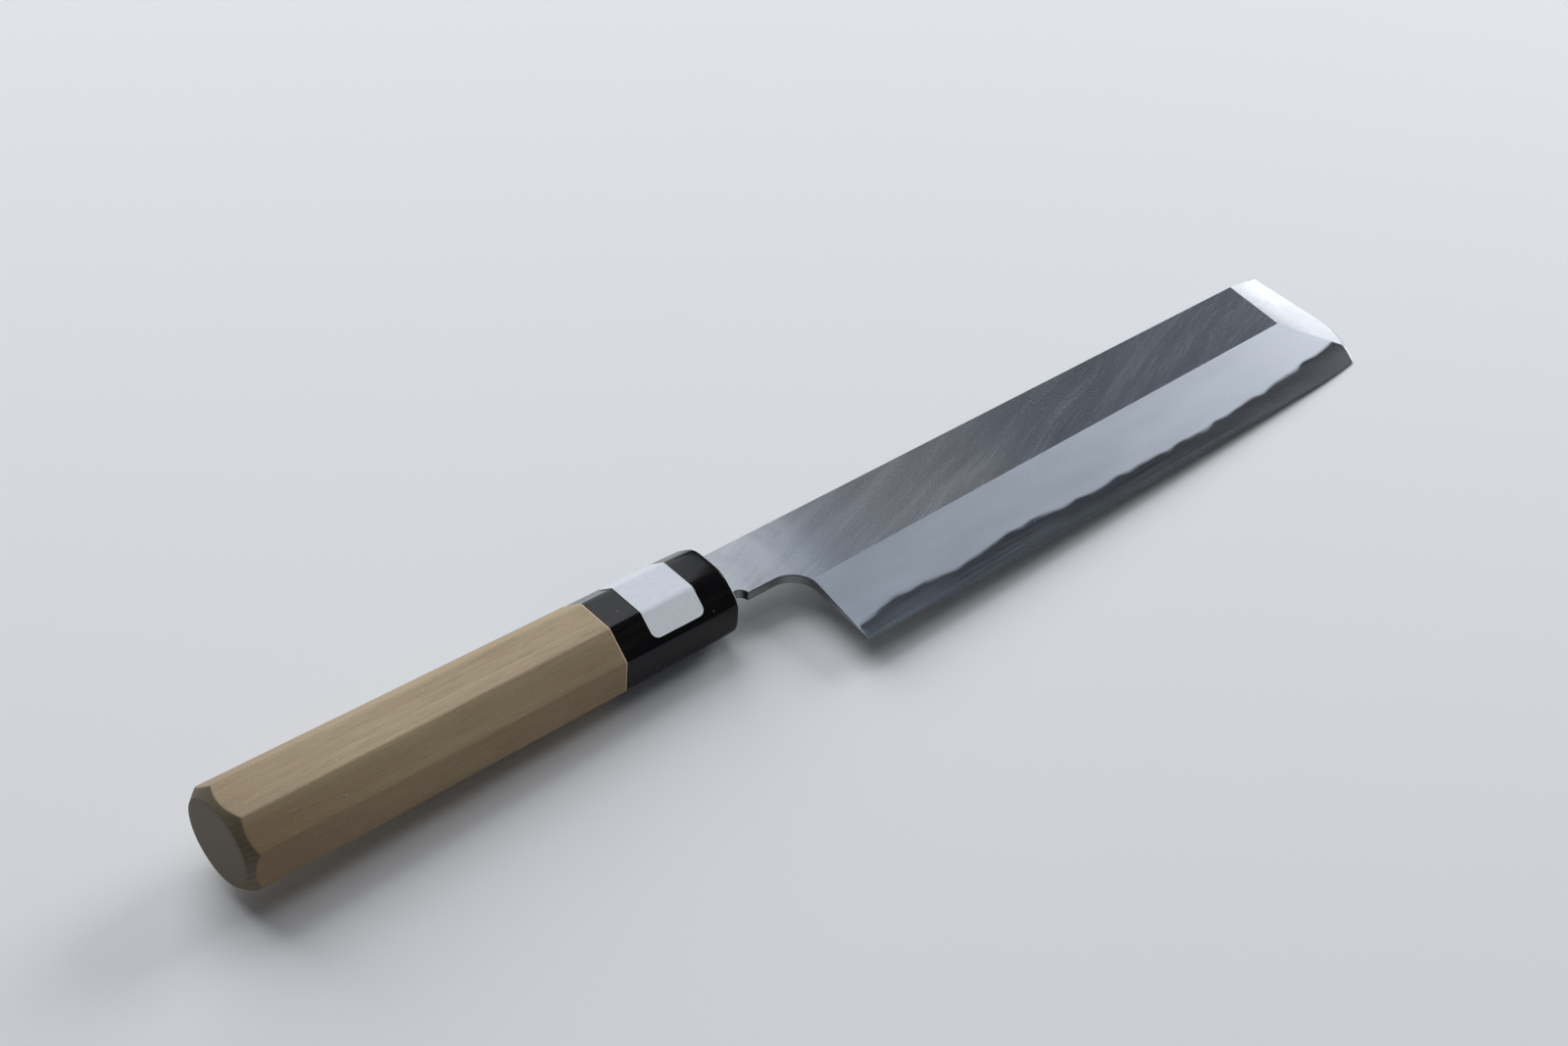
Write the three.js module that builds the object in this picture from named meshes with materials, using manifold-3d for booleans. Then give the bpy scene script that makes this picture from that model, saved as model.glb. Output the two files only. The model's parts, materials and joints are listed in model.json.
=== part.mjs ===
// Usuba, a Japanese vegetable knife with a square front end and an octagonal handle.
// It lies back down at rest: the ferrule's front and the front end of the blade touch the ground.
// Sizes are in millimetres. In the knife's own frame X runs from butt to tip, Y from edge to spine and Z out of
// the bevelled face. X = 0 is the joint between wood and ferrule, and the handle's axis is Y = Z = 0.
import * as THREE from "three";
import { mergeVertices } from "three/addons/utils/BufferGeometryUtils.js";
import Module from "manifold-3d";

// Blade
const edgeLength = 180; // heel corner to the front corner of the edge
const tipOverhang = 7.3; // front end of the blade past that corner
const neckLength = 20.7; // front of the ferrule to the heel corner
const spineAtNeck = 9.25; // spine above the handle's axis, where the neck leaves the ferrule
const spineAtFront = 10.75; // spine above the axis at the front end
const heelDrop = 35.7; // edge below the axis at the heel
const edgeBelly = 2.8; // rise of the edge from the heel to its front corner
const cornerLift = 0.8; // further rise over the last stretch before the corner
const cornerLiftLength = 16;
const cornerRound = 18.85; // height of the round part of the front end, above the edge's front corner
const heelLean = 1.7; // how far the heel corner stands behind the top of the heel
const backDepth = 1.4; // flat back below the handle's axis
const neckThickness = 2.75;
const frontThickness = 1.65;
const ridgeAtHeel = 13.1; // ridge between face and bevel, below the axis
const ridgeAtFront = 8.8;
const edgeLand = 0.06; // thickness left at the cutting edge
const tipBevelAtSpine = 10.4; // length of the bevel across the front end
const tipBevelAtRidge = 12.4;
const cornerBevelWidth = 1.1; // small steep bevel round the corner of the front end
const cornerBevelRise = 0.46;

// Steel layer
const steelThickness = 0.59; // mean thickness of the hard steel on the back
const weldSwell = 0.1; // slow rise and fall of the weld along the blade
const weldSwellLength = 165;
const weldSwellCrest = 42; // heel to the crest of the swell
const heelWave = 0.14; // waves of the weld that die away from the heel
const heelWaveLength = 42;
const heelWaveCrest = 16;
const heelWaveFade = 45;
const weldRipple = 0.022; // short ripples all along the weld
const weldRippleLength = 13;
const weldFlutter = 0.011; // shorter ones on top of them
const weldFlutterLength = 7.65;
const weldGap = 0.02; // weld line between iron and steel
const steelLap = 3; // steel runs this far behind the heel, into the neck
const hollowDepth = 0.2; // shallow hollow ground into the back
const hollowEndDepth = 0.005; // its depth at the two ends
const hollowRim = 3; // flat rim left round the hollow

// Neck and tang
const neckFillet = 7.2; // inside corner between neck and heel
const notchLength = 4; // straight of the notch between ferrule and its round end
const notchRadius = 2.3; // step from the tang down to the underside of the neck
const tangTop = 5.6; // tang above the axis at the ferrule
const tangBottom = 5.4; // tang below the axis at the ferrule
const tangShoulder = 0.9; // gap between the spine's shoulder and the ferrule
const tangEndWood = 41.2; // solid wood between the tang's end and the butt
const tangEndHeight = 5;
const tangEndThickness = 2;

// Handle
const woodLength = 103.2; // joint to butt face
const buttWidth = 26; // across the side facets, where the butt's chamfer starts
const buttDepth = 22.4; // across top and bottom facets there
const buttTopFacet = 12.2; // width of the top and bottom facets
const buttSideFacet = 10.5; // width of the two side facets
const jointWidth = 24.5;
const jointDepth = 20.6;
const jointTopFacet = 10.8;
const jointSideFacet = 8.9;
const buttChamfer = 2.9; // length of the turned chamfer at the butt
const buttInset = 1.3; // end face inside the middle of the facets

// Ferrule and its wax
const ferruleLength = 34.3;
const ferruleInset = 0.15; // ferrule below the wood's surface at the joint
const ferruleFrontWidth = 24.2;
const ferruleFrontDepth = 20;
const ferruleTopFacet = 10.6;
const ferruleSideFacet = 8.6;
const ferruleWall = 2.3; // horn over the bore at its thinnest
const ferruleBackSoftness = 0.8; // length of facet taken up by the rounded arris at the joint
const ferruleFrontSoftness = 2.6; // the same at the front end
const rimRadius = 1;
const sealDepth = 1.5; // tenon set back from the ferrule's front
const sealSink = 0.3; // rim of the wax behind the ferrule's front
const sealCrown = 0.5; // rise of the wax from its rim to the tang

// Label
const labelShift = 0.35; // label's middle behind the ferrule's middle
const labelWidth = 15.6; // along the handle
const labelDrop = 7.1; // how far it runs down the two bevelled facets
const labelCorner = 2; // radius of its corners
const labelThickness = 0.12;
const labelGap = 0.05; // glue under the label

// Clearances
const fitGap = 0.3; // tang and tenon in their bores
const faceGap = 0.05; // faces that butt together
const overcut = 5; // how far a cutting shape runs past what it cuts

// Facets
const edgeSteps = 36;
const bevelSteps = 48;
const tipSteps = 12;
const weldSteps = 100;
const hollowSteps = 16;
const archSteps = 12;
const arcSteps = 14;
const coneSides = 160;
const turnedSides = 64;
const arrisSteps = 4;
const ferruleSteps = 6;
const rimSteps = 4;
const crownSteps = 6;
const labelSteps = 5;

const ferruleFront = ferruleLength;
const heelX = ferruleFront + neckLength;
const cornerX = heelX + edgeLength;
const frontX = cornerX + tipOverhang;
const neckEndX = ferruleFront + tangShoulder;
const neckDrop = tangBottom + notchRadius;
const tangDepth = woodLength - tangEndWood;
const boreRadius = Math.min(jointDepth / 2 - ferruleInset, ferruleFrontDepth / 2) - ferruleWall;
const tenonRadius = boreRadius - fitGap;
const tenonEnd = ferruleFront - sealDepth;

const wasm = await Module();
wasm.setup();

function spread(from, to, count) {
  return Array.from({ length: count + 1 }, (_, i) => from + ((to - from) * i) / count);
}

// A closed body through rings of points that follow each other along +X or +Y. Each ring runs anticlockwise, as
// seen by someone who looks back from the last ring.
function loft(rings) {
  const count = rings[0].length;
  const geometry = new THREE.BufferGeometry().setFromPoints(rings.flat());
  const alongX = Math.abs(rings[0][0].x - rings.at(-1)[0].x) > Math.abs(rings[0][0].y - rings.at(-1)[0].y);
  const flat = (p) => (alongX ? new THREE.Vector2(p.y, p.z) : new THREE.Vector2(p.z, p.x));
  const cap = (ring) => THREE.ShapeUtils.triangulateShape(ring.map(flat), []);
  const last = (rings.length - 1) * count;
  const faces = [];
  cap(rings[0]).forEach(([a, b, c]) => faces.push(a, c, b));
  cap(rings.at(-1)).forEach(([a, b, c]) => faces.push(last + a, last + b, last + c));
  for (let i = 0; i < last; i += count) {
    for (let j = 0; j < count; j++) {
      const next = (j + 1) % count;
      faces.push(i + j, i + next, i + count + j);
      faces.push(i + next, i + count + next, i + count + j);
    }
  }
  return geometry.setIndex(faces);
}

function solid(geometry) {
  const bare = geometry.clone();
  bare.deleteAttribute("normal");
  bare.deleteAttribute("uv");
  const merged = mergeVertices(bare, 1e-4);
  const vertProperties = merged.attributes.position.array;
  const triVerts = new Uint32Array(merged.index.array);
  return new wasm.Manifold(new wasm.Mesh({ numProp: 3, vertProperties, triVerts }));
}

function surface(body) {
  const { vertProperties, triVerts } = body.getMesh();
  const geometry = new THREE.BufferGeometry();
  geometry.setAttribute("position", new THREE.BufferAttribute(vertProperties, 3));
  geometry.setIndex(new THREE.BufferAttribute(triVerts, 1));
  const faceted = geometry.toNonIndexed();
  faceted.computeVertexNormals();
  return faceted;
}

// Lines of the blade, each as a function of X or Y

const faceZ = (x) => {
  const share = (x - ferruleFront) / (frontX - ferruleFront);
  return neckThickness - backDepth + (frontThickness - neckThickness) * share;
};
const spineY = (x) => {
  const share = (x - ferruleFront) / (frontX - ferruleFront);
  return spineAtNeck + (spineAtFront - spineAtNeck) * share;
};
const ridgeY = (x) => {
  const share = (x - heelX) / (frontX - heelX);
  return -ridgeAtHeel + (ridgeAtHeel - ridgeAtFront) * share;
};
const edgeY = (x) => {
  const share = (x - heelX) / edgeLength;
  const lift = Math.max(0, 1 - (cornerX - x) / cornerLiftLength);
  return -heelDrop + edgeBelly * share ** 2 + cornerLift * lift ** 2;
};
const heelLine = (y) => (heelLean * (y + heelDrop)) / (heelDrop - neckDrop);
const wave = (run, length) => Math.cos((2 * Math.PI * run) / length);
const weldZ = (x) => {
  const run = x - heelX;
  const swell = weldSwell * wave(run - weldSwellCrest, weldSwellLength);
  const fading = heelWave * Math.exp(-run / heelWaveFade) * wave(run - heelWaveCrest, heelWaveLength);
  const ripple = weldRipple * wave(run, weldRippleLength) + weldFlutter * wave(run, weldFlutterLength);
  return -backDepth + steelThickness + swell + fading + ripple;
};

// Side view of the blade, from the end of the tang round to the spine's shoulder

function frontRound() {
  const startY = edgeY(cornerX) + cornerRound;
  const radius = (cornerRound ** 2 + tipOverhang ** 2) / (2 * tipOverhang);
  return { startY, radius, centreX: frontX - radius, angle: 2 * Math.atan2(tipOverhang, cornerRound) };
}

function forgingOutline() {
  const shape = new THREE.Shape();
  const notchX = ferruleFront + notchLength;
  const lean = Math.atan2(heelLean, heelDrop - neckDrop);
  const tangent = neckFillet / Math.tan((Math.PI / 2 - lean) / 2);
  const filletX = heelX + heelLean - tangent;
  shape.moveTo(-tangDepth, -tangEndHeight / 2);
  shape.lineTo(ferruleFront, -tangBottom);
  shape.lineTo(notchX, -tangBottom);
  shape.absarc(notchX, -neckDrop, notchRadius, Math.PI / 2, 0, true);
  shape.absarc(filletX, -neckDrop - neckFillet, neckFillet, Math.PI / 2, -lean, true);
  spread(heelX, cornerX, edgeSteps).forEach((x) => shape.lineTo(x, edgeY(x)));
  const { startY, radius, centreX, angle } = frontRound();
  shape.absarc(centreX, startY, radius, -angle, 0, false);
  shape.lineTo(frontX, spineAtFront);
  shape.lineTo(neckEndX, spineY(neckEndX));
  shape.lineTo(neckEndX, tangTop);
  shape.lineTo(ferruleFront, tangTop);
  shape.lineTo(-tangDepth, tangEndHeight / 2);
  return shape;
}

// Cutting shapes for the blade

const ring = (x, pairs) => pairs.map(([y, z]) => new THREE.Vector3(x, y, z));

// What lies between back and face: the blank thins from neck to front, and the tang from neck to its end.
function thickness() {
  const reach = heelDrop + overcut;
  const section = (x, low, high) =>
    ring(x, [[reach, low], [reach, high], [-reach, high], [-reach, low]]);
  return solid(
    loft([
      section(-tangDepth - fitGap, -tangEndThickness / 2, tangEndThickness / 2),
      section(ferruleFront, -backDepth, faceZ(ferruleFront)),
      section(frontX + overcut, -backDepth, faceZ(frontX + overcut)),
    ]),
  );
}

// The ground bevel is ruled from the ridge to the edge, so it twists a little along the blade. The cut runs past
// both by a share of the bevel's width.
function edgeBevel() {
  const pastRidge = 0.2;
  const pastEdge = 0.5;
  const rings = spread(heelX - overcut, frontX + overcut, bevelSteps).map((x) => {
    const along = Math.min(Math.max(x, heelX), cornerX);
    const edge = new THREE.Vector2(edgeY(along), -backDepth + edgeLand);
    const ridge = new THREE.Vector2(ridgeY(x), faceZ(x));
    const above = edge.clone().lerp(ridge, 1 + pastRidge);
    const below = edge.clone().lerp(ridge, -pastEdge);
    return ring(x, [
      [above.x, above.y],
      [above.x, overcut],
      [below.x - overcut, overcut],
      [below.x - overcut, below.y],
      [below.x, below.y],
    ]);
  });
  return solid(loft(rings));
}

// The bevel across the front end is ruled too, from the face to the front line.
function tipBevel() {
  const low = -backDepth + edgeLand;
  const rings = spread(-heelDrop - overcut, spineAtFront + overcut, tipSteps).map((y) => {
    const share = (spineAtFront - y) / (spineAtFront + ridgeAtFront);
    const length = tipBevelAtSpine + (tipBevelAtRidge - tipBevelAtSpine) * share;
    const slope = (faceZ(frontX - length) - low) / length;
    const rearX = frontX - length - overcut;
    const high = low + (frontX - rearX) * slope;
    return [
      new THREE.Vector3(frontX + overcut, y, high),
      new THREE.Vector3(frontX + overcut, y, low - overcut * slope),
      new THREE.Vector3(rearX, y, high),
    ];
  });
  return solid(loft(rings));
}

function cornerBevel() {
  const { startY, radius, centreX } = frontRound();
  const slope = cornerBevelRise / cornerBevelWidth;
  const low = -backDepth + edgeLand;
  const inner = radius - cornerBevelWidth - overcut;
  const high = low + (radius - inner) * slope;
  const profile = [
    new THREE.Vector2(inner, high),
    new THREE.Vector2(radius + overcut, low - overcut * slope),
    new THREE.Vector2(radius + overcut, high),
  ];
  profile.push(profile[0]);
  const cone = new THREE.LatheGeometry(profile, coneSides).rotateX(Math.PI / 2).translate(centreX, startY, 0);
  const size = radius + 2 * overcut;
  const quarter = new THREE.BoxGeometry(size, size, size).translate(centreX + size / 2, startY - size / 2, 0);
  return solid(cone).intersect(solid(quarter));
}

// Everything under the weld, in rings that lean as the heel does. The room cut in the iron is larger than the
// steel by the weld's gap, above it and behind it.
function underWeld(gap) {
  const reach = heelDrop + overcut;
  const low = -backDepth - overcut;
  const rings = spread(heelX - steelLap - gap, frontX + overcut, weldSteps).map((x) => {
    const top = weldZ(x) + gap;
    const section = [[reach, low], [reach, top], [-reach, top], [-reach, low]];
    return section.map(([y, z]) => new THREE.Vector3(x + heelLine(y), y, z));
  });
  return solid(loft(rings));
}

// The back is hollow ground: a shallow trough inside a flat rim, deepest along its middle.
function backHollow() {
  const start = heelX + heelLean + hollowRim;
  const end = cornerX - hollowRim;
  const rings = spread(start, end, hollowSteps).map((x) => {
    const run = (2 * (x - start)) / (end - start) - 1;
    const depth = hollowEndDepth + hollowDepth * Math.sqrt(Math.max(0, 1 - run ** 6));
    const top = spineY(x) - hollowRim;
    const bottom = edgeY(x) + hollowRim;
    const arch = spread(1, -1, archSteps).map((s) => {
      const y = (top + bottom) / 2 + (s * (top - bottom)) / 2;
      return [y, -backDepth + depth * (1 - s ** 2)];
    });
    return ring(x, [[bottom, -backDepth - overcut], [top, -backDepth - overcut], ...arch]);
  });
  return solid(loft(rings));
}

function forging() {
  const settings = { depth: 2 * overcut, bevelEnabled: false, curveSegments: arcSteps };
  const plate = new THREE.ExtrudeGeometry(forgingOutline(), settings).translate(0, 0, -overcut);
  return solid(plate).intersect(thickness());
}

function ground(body) {
  return body.subtract(edgeBevel()).subtract(tipBevel()).subtract(cornerBevel());
}

function bladeIron() {
  return ground(forging().subtract(underWeld(weldGap)));
}

function bladeSteel() {
  return ground(forging().intersect(underWeld(0))).subtract(backHollow());
}

// Handle and ferrule

function octagon(width, depth, topFacet, sideFacet) {
  const [w, d, t, s] = [width / 2, depth / 2, topFacet / 2, sideFacet / 2];
  return [[w, -s], [w, s], [t, d], [-t, d], [-w, s], [-w, -s], [-t, -d], [t, -d]];
}

// An octagon whose corners are bent over the given length of facet on each side, or over what the facets allow.
function softOctagon(corners, softness) {
  const facetShare = 0.45;
  const at = (i) => new THREE.Vector2(...corners[(i + corners.length) % corners.length]);
  const shortest = Math.min(...corners.map((_, i) => at(i).distanceTo(at(i + 1))));
  const bent = Math.min(softness, facetShare * shortest);
  return corners.flatMap((_, i) => {
    const into = at(i).addScaledVector(at(i).sub(at(i - 1)).normalize(), -bent);
    const out = at(i).addScaledVector(at(i + 1).sub(at(i)).normalize(), bent);
    const bend = new THREE.QuadraticBezierCurve(into, at(i), out);
    return bend.getPoints(arrisSteps).map((p) => [p.x, p.y]);
  });
}

// A tapering slot that clears the tang all round.
function tangSlot() {
  const section = (x, bottom, top, low, high) =>
    ring(x, [
      [top + fitGap, low - fitGap],
      [top + fitGap, high + fitGap],
      [bottom - fitGap, high + fitGap],
      [bottom - fitGap, low - fitGap],
    ]);
  const half = tangEndHeight / 2;
  const side = tangEndThickness / 2;
  const front = faceZ(ferruleFront);
  return solid(
    loft([
      section(-tangDepth - fitGap, -half, half, -side, side),
      section(ferruleFront, -tangBottom, tangTop, -backDepth, front),
      section(ferruleFront + overcut, -tangBottom, tangTop, -backDepth, front),
    ]),
  );
}

function turned(radiusRear, radiusFront, rear, front) {
  const geometry = new THREE.CylinderGeometry(radiusFront, radiusRear, front - rear, turnedSides);
  return geometry.rotateZ(-Math.PI / 2).translate((rear + front) / 2, 0, 0);
}

// The butt is chamfered by an oval cone, sized so that it meets the arrises where the chamfer starts.
function handle() {
  const buttX = -woodLength;
  const buttFacets = octagon(buttWidth, buttDepth, buttTopFacet, buttSideFacet);
  const jointFacets = octagon(jointWidth, jointDepth, jointTopFacet, jointSideFacet);
  const facets = loft([ring(buttX, buttFacets), ring(-faceGap, jointFacets)]);
  const endShare = 1 - (2 * buttInset) / buttWidth;
  const arrisShare = Math.hypot(1, buttSideFacet / buttDepth);
  const reach = woodLength + overcut;
  const frontShare = endShare + ((arrisShare - endShare) / buttChamfer) * reach;
  const cone = turned(endShare, frontShare, buttX, buttX + reach);
  const oval = solid(cone).scale([1, buttWidth / 2, buttDepth / 2]);
  const tenon = solid(turned(tenonRadius, tenonRadius, -overcut, tenonEnd));
  return solid(facets).intersect(oval).add(tenon).subtract(tangSlot());
}

function ferruleAt(x) {
  const share = x / ferruleFront;
  const mix = (rear, front) => rear + (front - rear) * share;
  return {
    width: mix(jointWidth - 2 * ferruleInset, ferruleFrontWidth),
    depth: mix(jointDepth - 2 * ferruleInset, ferruleFrontDepth),
    topFacet: mix(jointTopFacet, ferruleTopFacet),
    sideFacet: mix(jointSideFacet, ferruleSideFacet),
    softness: mix(ferruleBackSoftness, ferruleFrontSoftness),
  };
}

function ferruleRing(x, inset) {
  const size = ferruleAt(x);
  const narrowing = 2 * inset * Math.tan(Math.PI / 8);
  const corners = octagon(
    size.width - 2 * inset,
    size.depth - 2 * inset,
    size.topFacet - narrowing,
    size.sideFacet - narrowing,
  );
  return ring(x, softOctagon(corners, size.softness));
}

function ferrule() {
  const rimStart = ferruleFront - rimRadius;
  const body = spread(0, rimStart, ferruleSteps).map((x) => ferruleRing(x, 0));
  const turns = spread(0, Math.PI / 2, rimSteps).slice(1);
  const rim = turns.map((turn) =>
    ferruleRing(rimStart + rimRadius * Math.sin(turn), rimRadius * (1 - Math.cos(turn))),
  );
  const bore = turned(boreRadius, boreRadius, -overcut, ferruleFront + overcut);
  return solid(loft([...body, ...rim])).subtract(solid(bore)).subtract(tangSlot());
}

// Wax plug: fills the mouth of the ferrule and stands a little proud round the tang.
function tangSeal() {
  const radius = boreRadius - faceGap;
  const rear = tenonEnd + faceGap;
  const rim = ferruleFront - sealSink - rear;
  const crown = spread(0, Math.PI / 2, crownSteps).map(
    (turn) => new THREE.Vector2(radius * Math.cos(turn), rim + sealCrown * Math.sin(turn)),
  );
  const profile = [new THREE.Vector2(0, 0), new THREE.Vector2(radius, 0), ...crown];
  const plug = new THREE.LatheGeometry(profile, turnedSides).rotateZ(-Math.PI / 2).translate(rear, 0, 0);
  return solid(plug).subtract(tangSlot());
}

// The label lies on the top facet and folds down over the two bevelled facets beside it.
function labelLine(x, reach, lift) {
  const { width, depth, topFacet, sideFacet } = ferruleAt(x);
  const fall = Math.atan2(depth - sideFacet, width - topFacet);
  const foldY = topFacet / 2 + lift * Math.tan(fall / 2);
  const foldZ = depth / 2 + lift;
  const endY = foldY + reach * Math.cos(fall);
  const endZ = foldZ - reach * Math.sin(fall);
  return [[endY, endZ], [foldY, foldZ], [-foldY, foldZ], [-endY, endZ]];
}

function label() {
  const start = (ferruleLength - labelWidth) / 2 - labelShift;
  const end = start + labelWidth;
  const turns = spread(0, Math.PI / 2, labelSteps);
  const rear = turns.map((turn) => [start + labelCorner * (1 - Math.cos(turn)), Math.sin(turn)]);
  const front = turns.map((turn) => [end - labelCorner * (1 - Math.sin(turn)), Math.cos(turn)]);
  const rings = [...rear, ...front].map(([x, share]) => {
    const reach = labelDrop - labelCorner * (1 - share);
    const outside = labelLine(x, reach, labelGap + labelThickness);
    const inside = labelLine(x, reach, labelGap).reverse();
    return ring(x, [...outside, ...inside]);
  });
  return solid(loft(rings));
}

// Assembly

const iron = { color: 0x8a9096, roughness: 0.42, metalness: 1 };
const steel = { color: 0x565c63, roughness: 0.25, metalness: 1 };
const wood = { color: 0xa08c68, roughness: 0.7, metalness: 0 };
const horn = { color: 0x0b0b0c, roughness: 0.18, metalness: 0 };
const wax = { color: 0x2a2018, roughness: 0.5, metalness: 0 };
const paper = { color: 0xe9eaec, roughness: 0.5, metalness: 0 };

const knife = new THREE.Group();
function add(name, body, look) {
  const mesh = new THREE.Mesh(surface(body), new THREE.MeshStandardMaterial(look));
  mesh.name = name;
  knife.add(mesh);
}
add("blade_iron", bladeIron(), iron);
add("blade_steel", bladeSteel(), steel);
add("handle", handle(), wood);
add("ferrule", ferrule(), horn);
add("tang_seal", tangSeal(), wax);
add("label", label(), paper);

// At rest the knife leans forward on its ferrule until the front end of the blade meets the ground.
function restAngle() {
  const point = new THREE.Vector3();
  let steepest = 0;
  for (const { geometry } of knife.children) {
    const places = geometry.getAttribute("position");
    for (let i = 0; i < places.count; i++) {
      point.fromBufferAttribute(places, i);
      steepest = Math.max(steepest, Math.atan2(-backDepth - point.z, frontX - point.x));
    }
  }
  return steepest;
}
knife.rotation.y = restAngle();
const part = new THREE.Group();
part.add(knife);
part.updateMatrixWorld(true);
const box = new THREE.Box3().setFromObject(part, true);
const centre = box.getCenter(new THREE.Vector3());
knife.position.set(-centre.x, -centre.y, -box.min.z);

export default part;
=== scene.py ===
import json
import math

import bmesh
import bpy
import numpy as np
from mathutils import Matrix, Vector
from mathutils.geometry import delaunay_2d_cdt


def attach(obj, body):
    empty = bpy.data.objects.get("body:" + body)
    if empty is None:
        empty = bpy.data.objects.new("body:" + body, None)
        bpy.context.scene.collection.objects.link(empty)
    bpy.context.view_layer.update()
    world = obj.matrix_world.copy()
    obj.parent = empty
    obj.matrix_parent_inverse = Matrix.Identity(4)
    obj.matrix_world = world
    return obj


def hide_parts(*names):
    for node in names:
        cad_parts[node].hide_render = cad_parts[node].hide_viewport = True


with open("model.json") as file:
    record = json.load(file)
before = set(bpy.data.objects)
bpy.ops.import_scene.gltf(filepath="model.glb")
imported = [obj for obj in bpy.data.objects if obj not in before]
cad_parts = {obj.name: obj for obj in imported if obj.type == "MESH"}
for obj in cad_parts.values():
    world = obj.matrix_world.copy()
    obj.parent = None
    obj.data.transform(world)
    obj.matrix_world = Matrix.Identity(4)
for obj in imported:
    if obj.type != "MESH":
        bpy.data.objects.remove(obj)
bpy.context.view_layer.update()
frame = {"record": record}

# An usuba lying at rest: the looks of the knife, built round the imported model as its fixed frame.
# The script follows the knife as it is put together: the forged iron, the steel welded under it, the wooden
# handle, the horn ferrule, the wax that seals the tang, and the label. Floor, lamps and camera come last.

# Blade iron
# The soft-iron body of the blade: tang, neck, flat face and most of the bevel are one forging, ground to
# shape. The face is satin ground, the bevel stoned to a pale haze, and the front bevel bright. Sizes are in
# millimetres, with X from butt to tip, Y from edge to spine and Z out of the bevelled face.

edge_length = 180.0
tip_overhang = 7.3  # from the end of the edge to the front end
neck_length = 20.7
spine_at_neck = 9.25  # heights above the knife's axis
spine_at_front = 10.75
heel_drop = 35.7  # depth of the heel below the axis
edge_belly = 2.8  # how far the edge rises from heel to front
corner_lift = 0.8  # the last stretch of the edge rises this much more
corner_lift_length = 16.0
corner_round = 18.85  # height of the rounded lower corner
heel_lean = 1.7  # the top of the heel lies this far in front of its foot
back_depth = 1.4  # depth of the back behind the axis
neck_thickness = 2.75
front_thickness = 1.65
ridge_at_heel = 13.1  # depths below the axis
ridge_at_front = 8.8
edge_land = 0.06  # thickness that is left at the edge
tip_bevel_at_spine = 10.4
tip_bevel_at_ridge = 12.4
corner_bevel_width = 1.1
corner_bevel_rise = 0.46
neck_fillet = 7.2
notch_length = 4.0
notch_radius = 2.3
tang_top = 5.6
tang_bottom = 5.4
tang_shoulder = 0.9
tang_depth = 62.0
tang_end_height = 5.0
tang_end_thickness = 2.0
ferrule_length = 34.3
eased_edge = 0.22  # small chamfer on the spine, the neck and the heel
easing_run_out = 12.0  # the chamfer narrows over this height above the heel
least_easing = 0.01  # the share of it that is left there

heel_x = ferrule_length + neck_length
corner_x = heel_x + edge_length
front_x = corner_x + tip_overhang
shoulder_x = ferrule_length + tang_shoulder
neck_drop = tang_bottom + notch_radius
edge_z = edge_land - back_depth
round_radius = (corner_round ** 2 + tip_overhang ** 2) / (2 * tip_overhang)
round_angle = 2 * math.atan2(tip_overhang, corner_round)
round_x = front_x - round_radius


def along_blade(x, at_neck, at_front):
    return at_neck + (at_front - at_neck) * (x - ferrule_length) / (front_x - ferrule_length)


def face_z(x):
    return along_blade(x, neck_thickness, front_thickness) - back_depth


def spine_y(x):
    return along_blade(x, spine_at_neck, spine_at_front)


def ridge_y(x):
    return -ridge_at_heel + (ridge_at_heel - ridge_at_front) * (x - heel_x) / (front_x - heel_x)


def edge_y(x):
    x = np.clip(x, heel_x, corner_x)
    lift = np.maximum(0, 1 - (corner_x - x) / corner_lift_length)
    return -heel_drop + edge_belly * ((x - heel_x) / edge_length) ** 2 + corner_lift * lift ** 2


round_y = edge_y(corner_x) + corner_round


def heel_line(y):
    return heel_x + heel_lean * (y + heel_drop) / (heel_drop - neck_drop)


def bevel_z(x, y):
    share = (y - edge_y(x)) / (ridge_y(x) - edge_y(x))
    return edge_z + (face_z(x) - edge_z) * share


def tip_length(y):
    share = (spine_at_front - y) / (spine_at_front + ridge_at_front)
    return tip_bevel_at_spine + (tip_bevel_at_ridge - tip_bevel_at_spine) * share


def tip_z(x, y):
    length = tip_length(y)
    return edge_z + (front_x - x) * (face_z(front_x - length) - edge_z) / length


def corner_z(x, y):
    inside = round_radius - np.hypot(x - round_x, y - round_y)
    near = (y < round_y) & (x > round_x)
    return np.where(near, edge_z + inside * corner_bevel_rise / corner_bevel_width, face_z(x) + 1)


def ground_z(x, y):
    """Face, bevel, front bevel and corner bevel at a place: the lowest one is what is left."""
    return np.array([face_z(x) + 0 * y, bevel_z(x, y), tip_z(x, y), corner_z(x, y)])


halvings = 50  # how often a search halves its range


def solve(difference, low, high):
    """The place between low and high where a difference that starts negative turns positive."""
    for _ in range(halvings):
        middle = (low + high) / 2
        low, high = (middle, high) if difference(middle) < 0 else (low, middle)
    return (low + high) / 2


def arc(x, y, radius, start, end, count):
    turns = np.linspace(start, end, count)
    return [(x + radius * math.cos(a), y + radius * math.sin(a)) for a in turns]


def easing(points):
    """The width of the small chamfer at each point."""
    return eased_edge * np.clip((points[:, 1] + heel_drop) / easing_run_out, least_easing, 1)


def inset_line(points):
    """The inner line of the small chamfer on an outline that runs with the blade on its left."""
    points = np.array(points)
    steps = np.diff(points, axis=0)
    left = np.column_stack([-steps[:, 1], steps[:, 0]]) / np.linalg.norm(steps, axis=1)[:, None]
    before = np.vstack([left[:1], left])
    after = np.vstack([left, left[-1:]])
    mitre = (before + after) / (1 + (before * after).sum(axis=1))[:, None]
    return [tuple(p) for p in points + easing(points)[:, None] * mitre]


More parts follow.
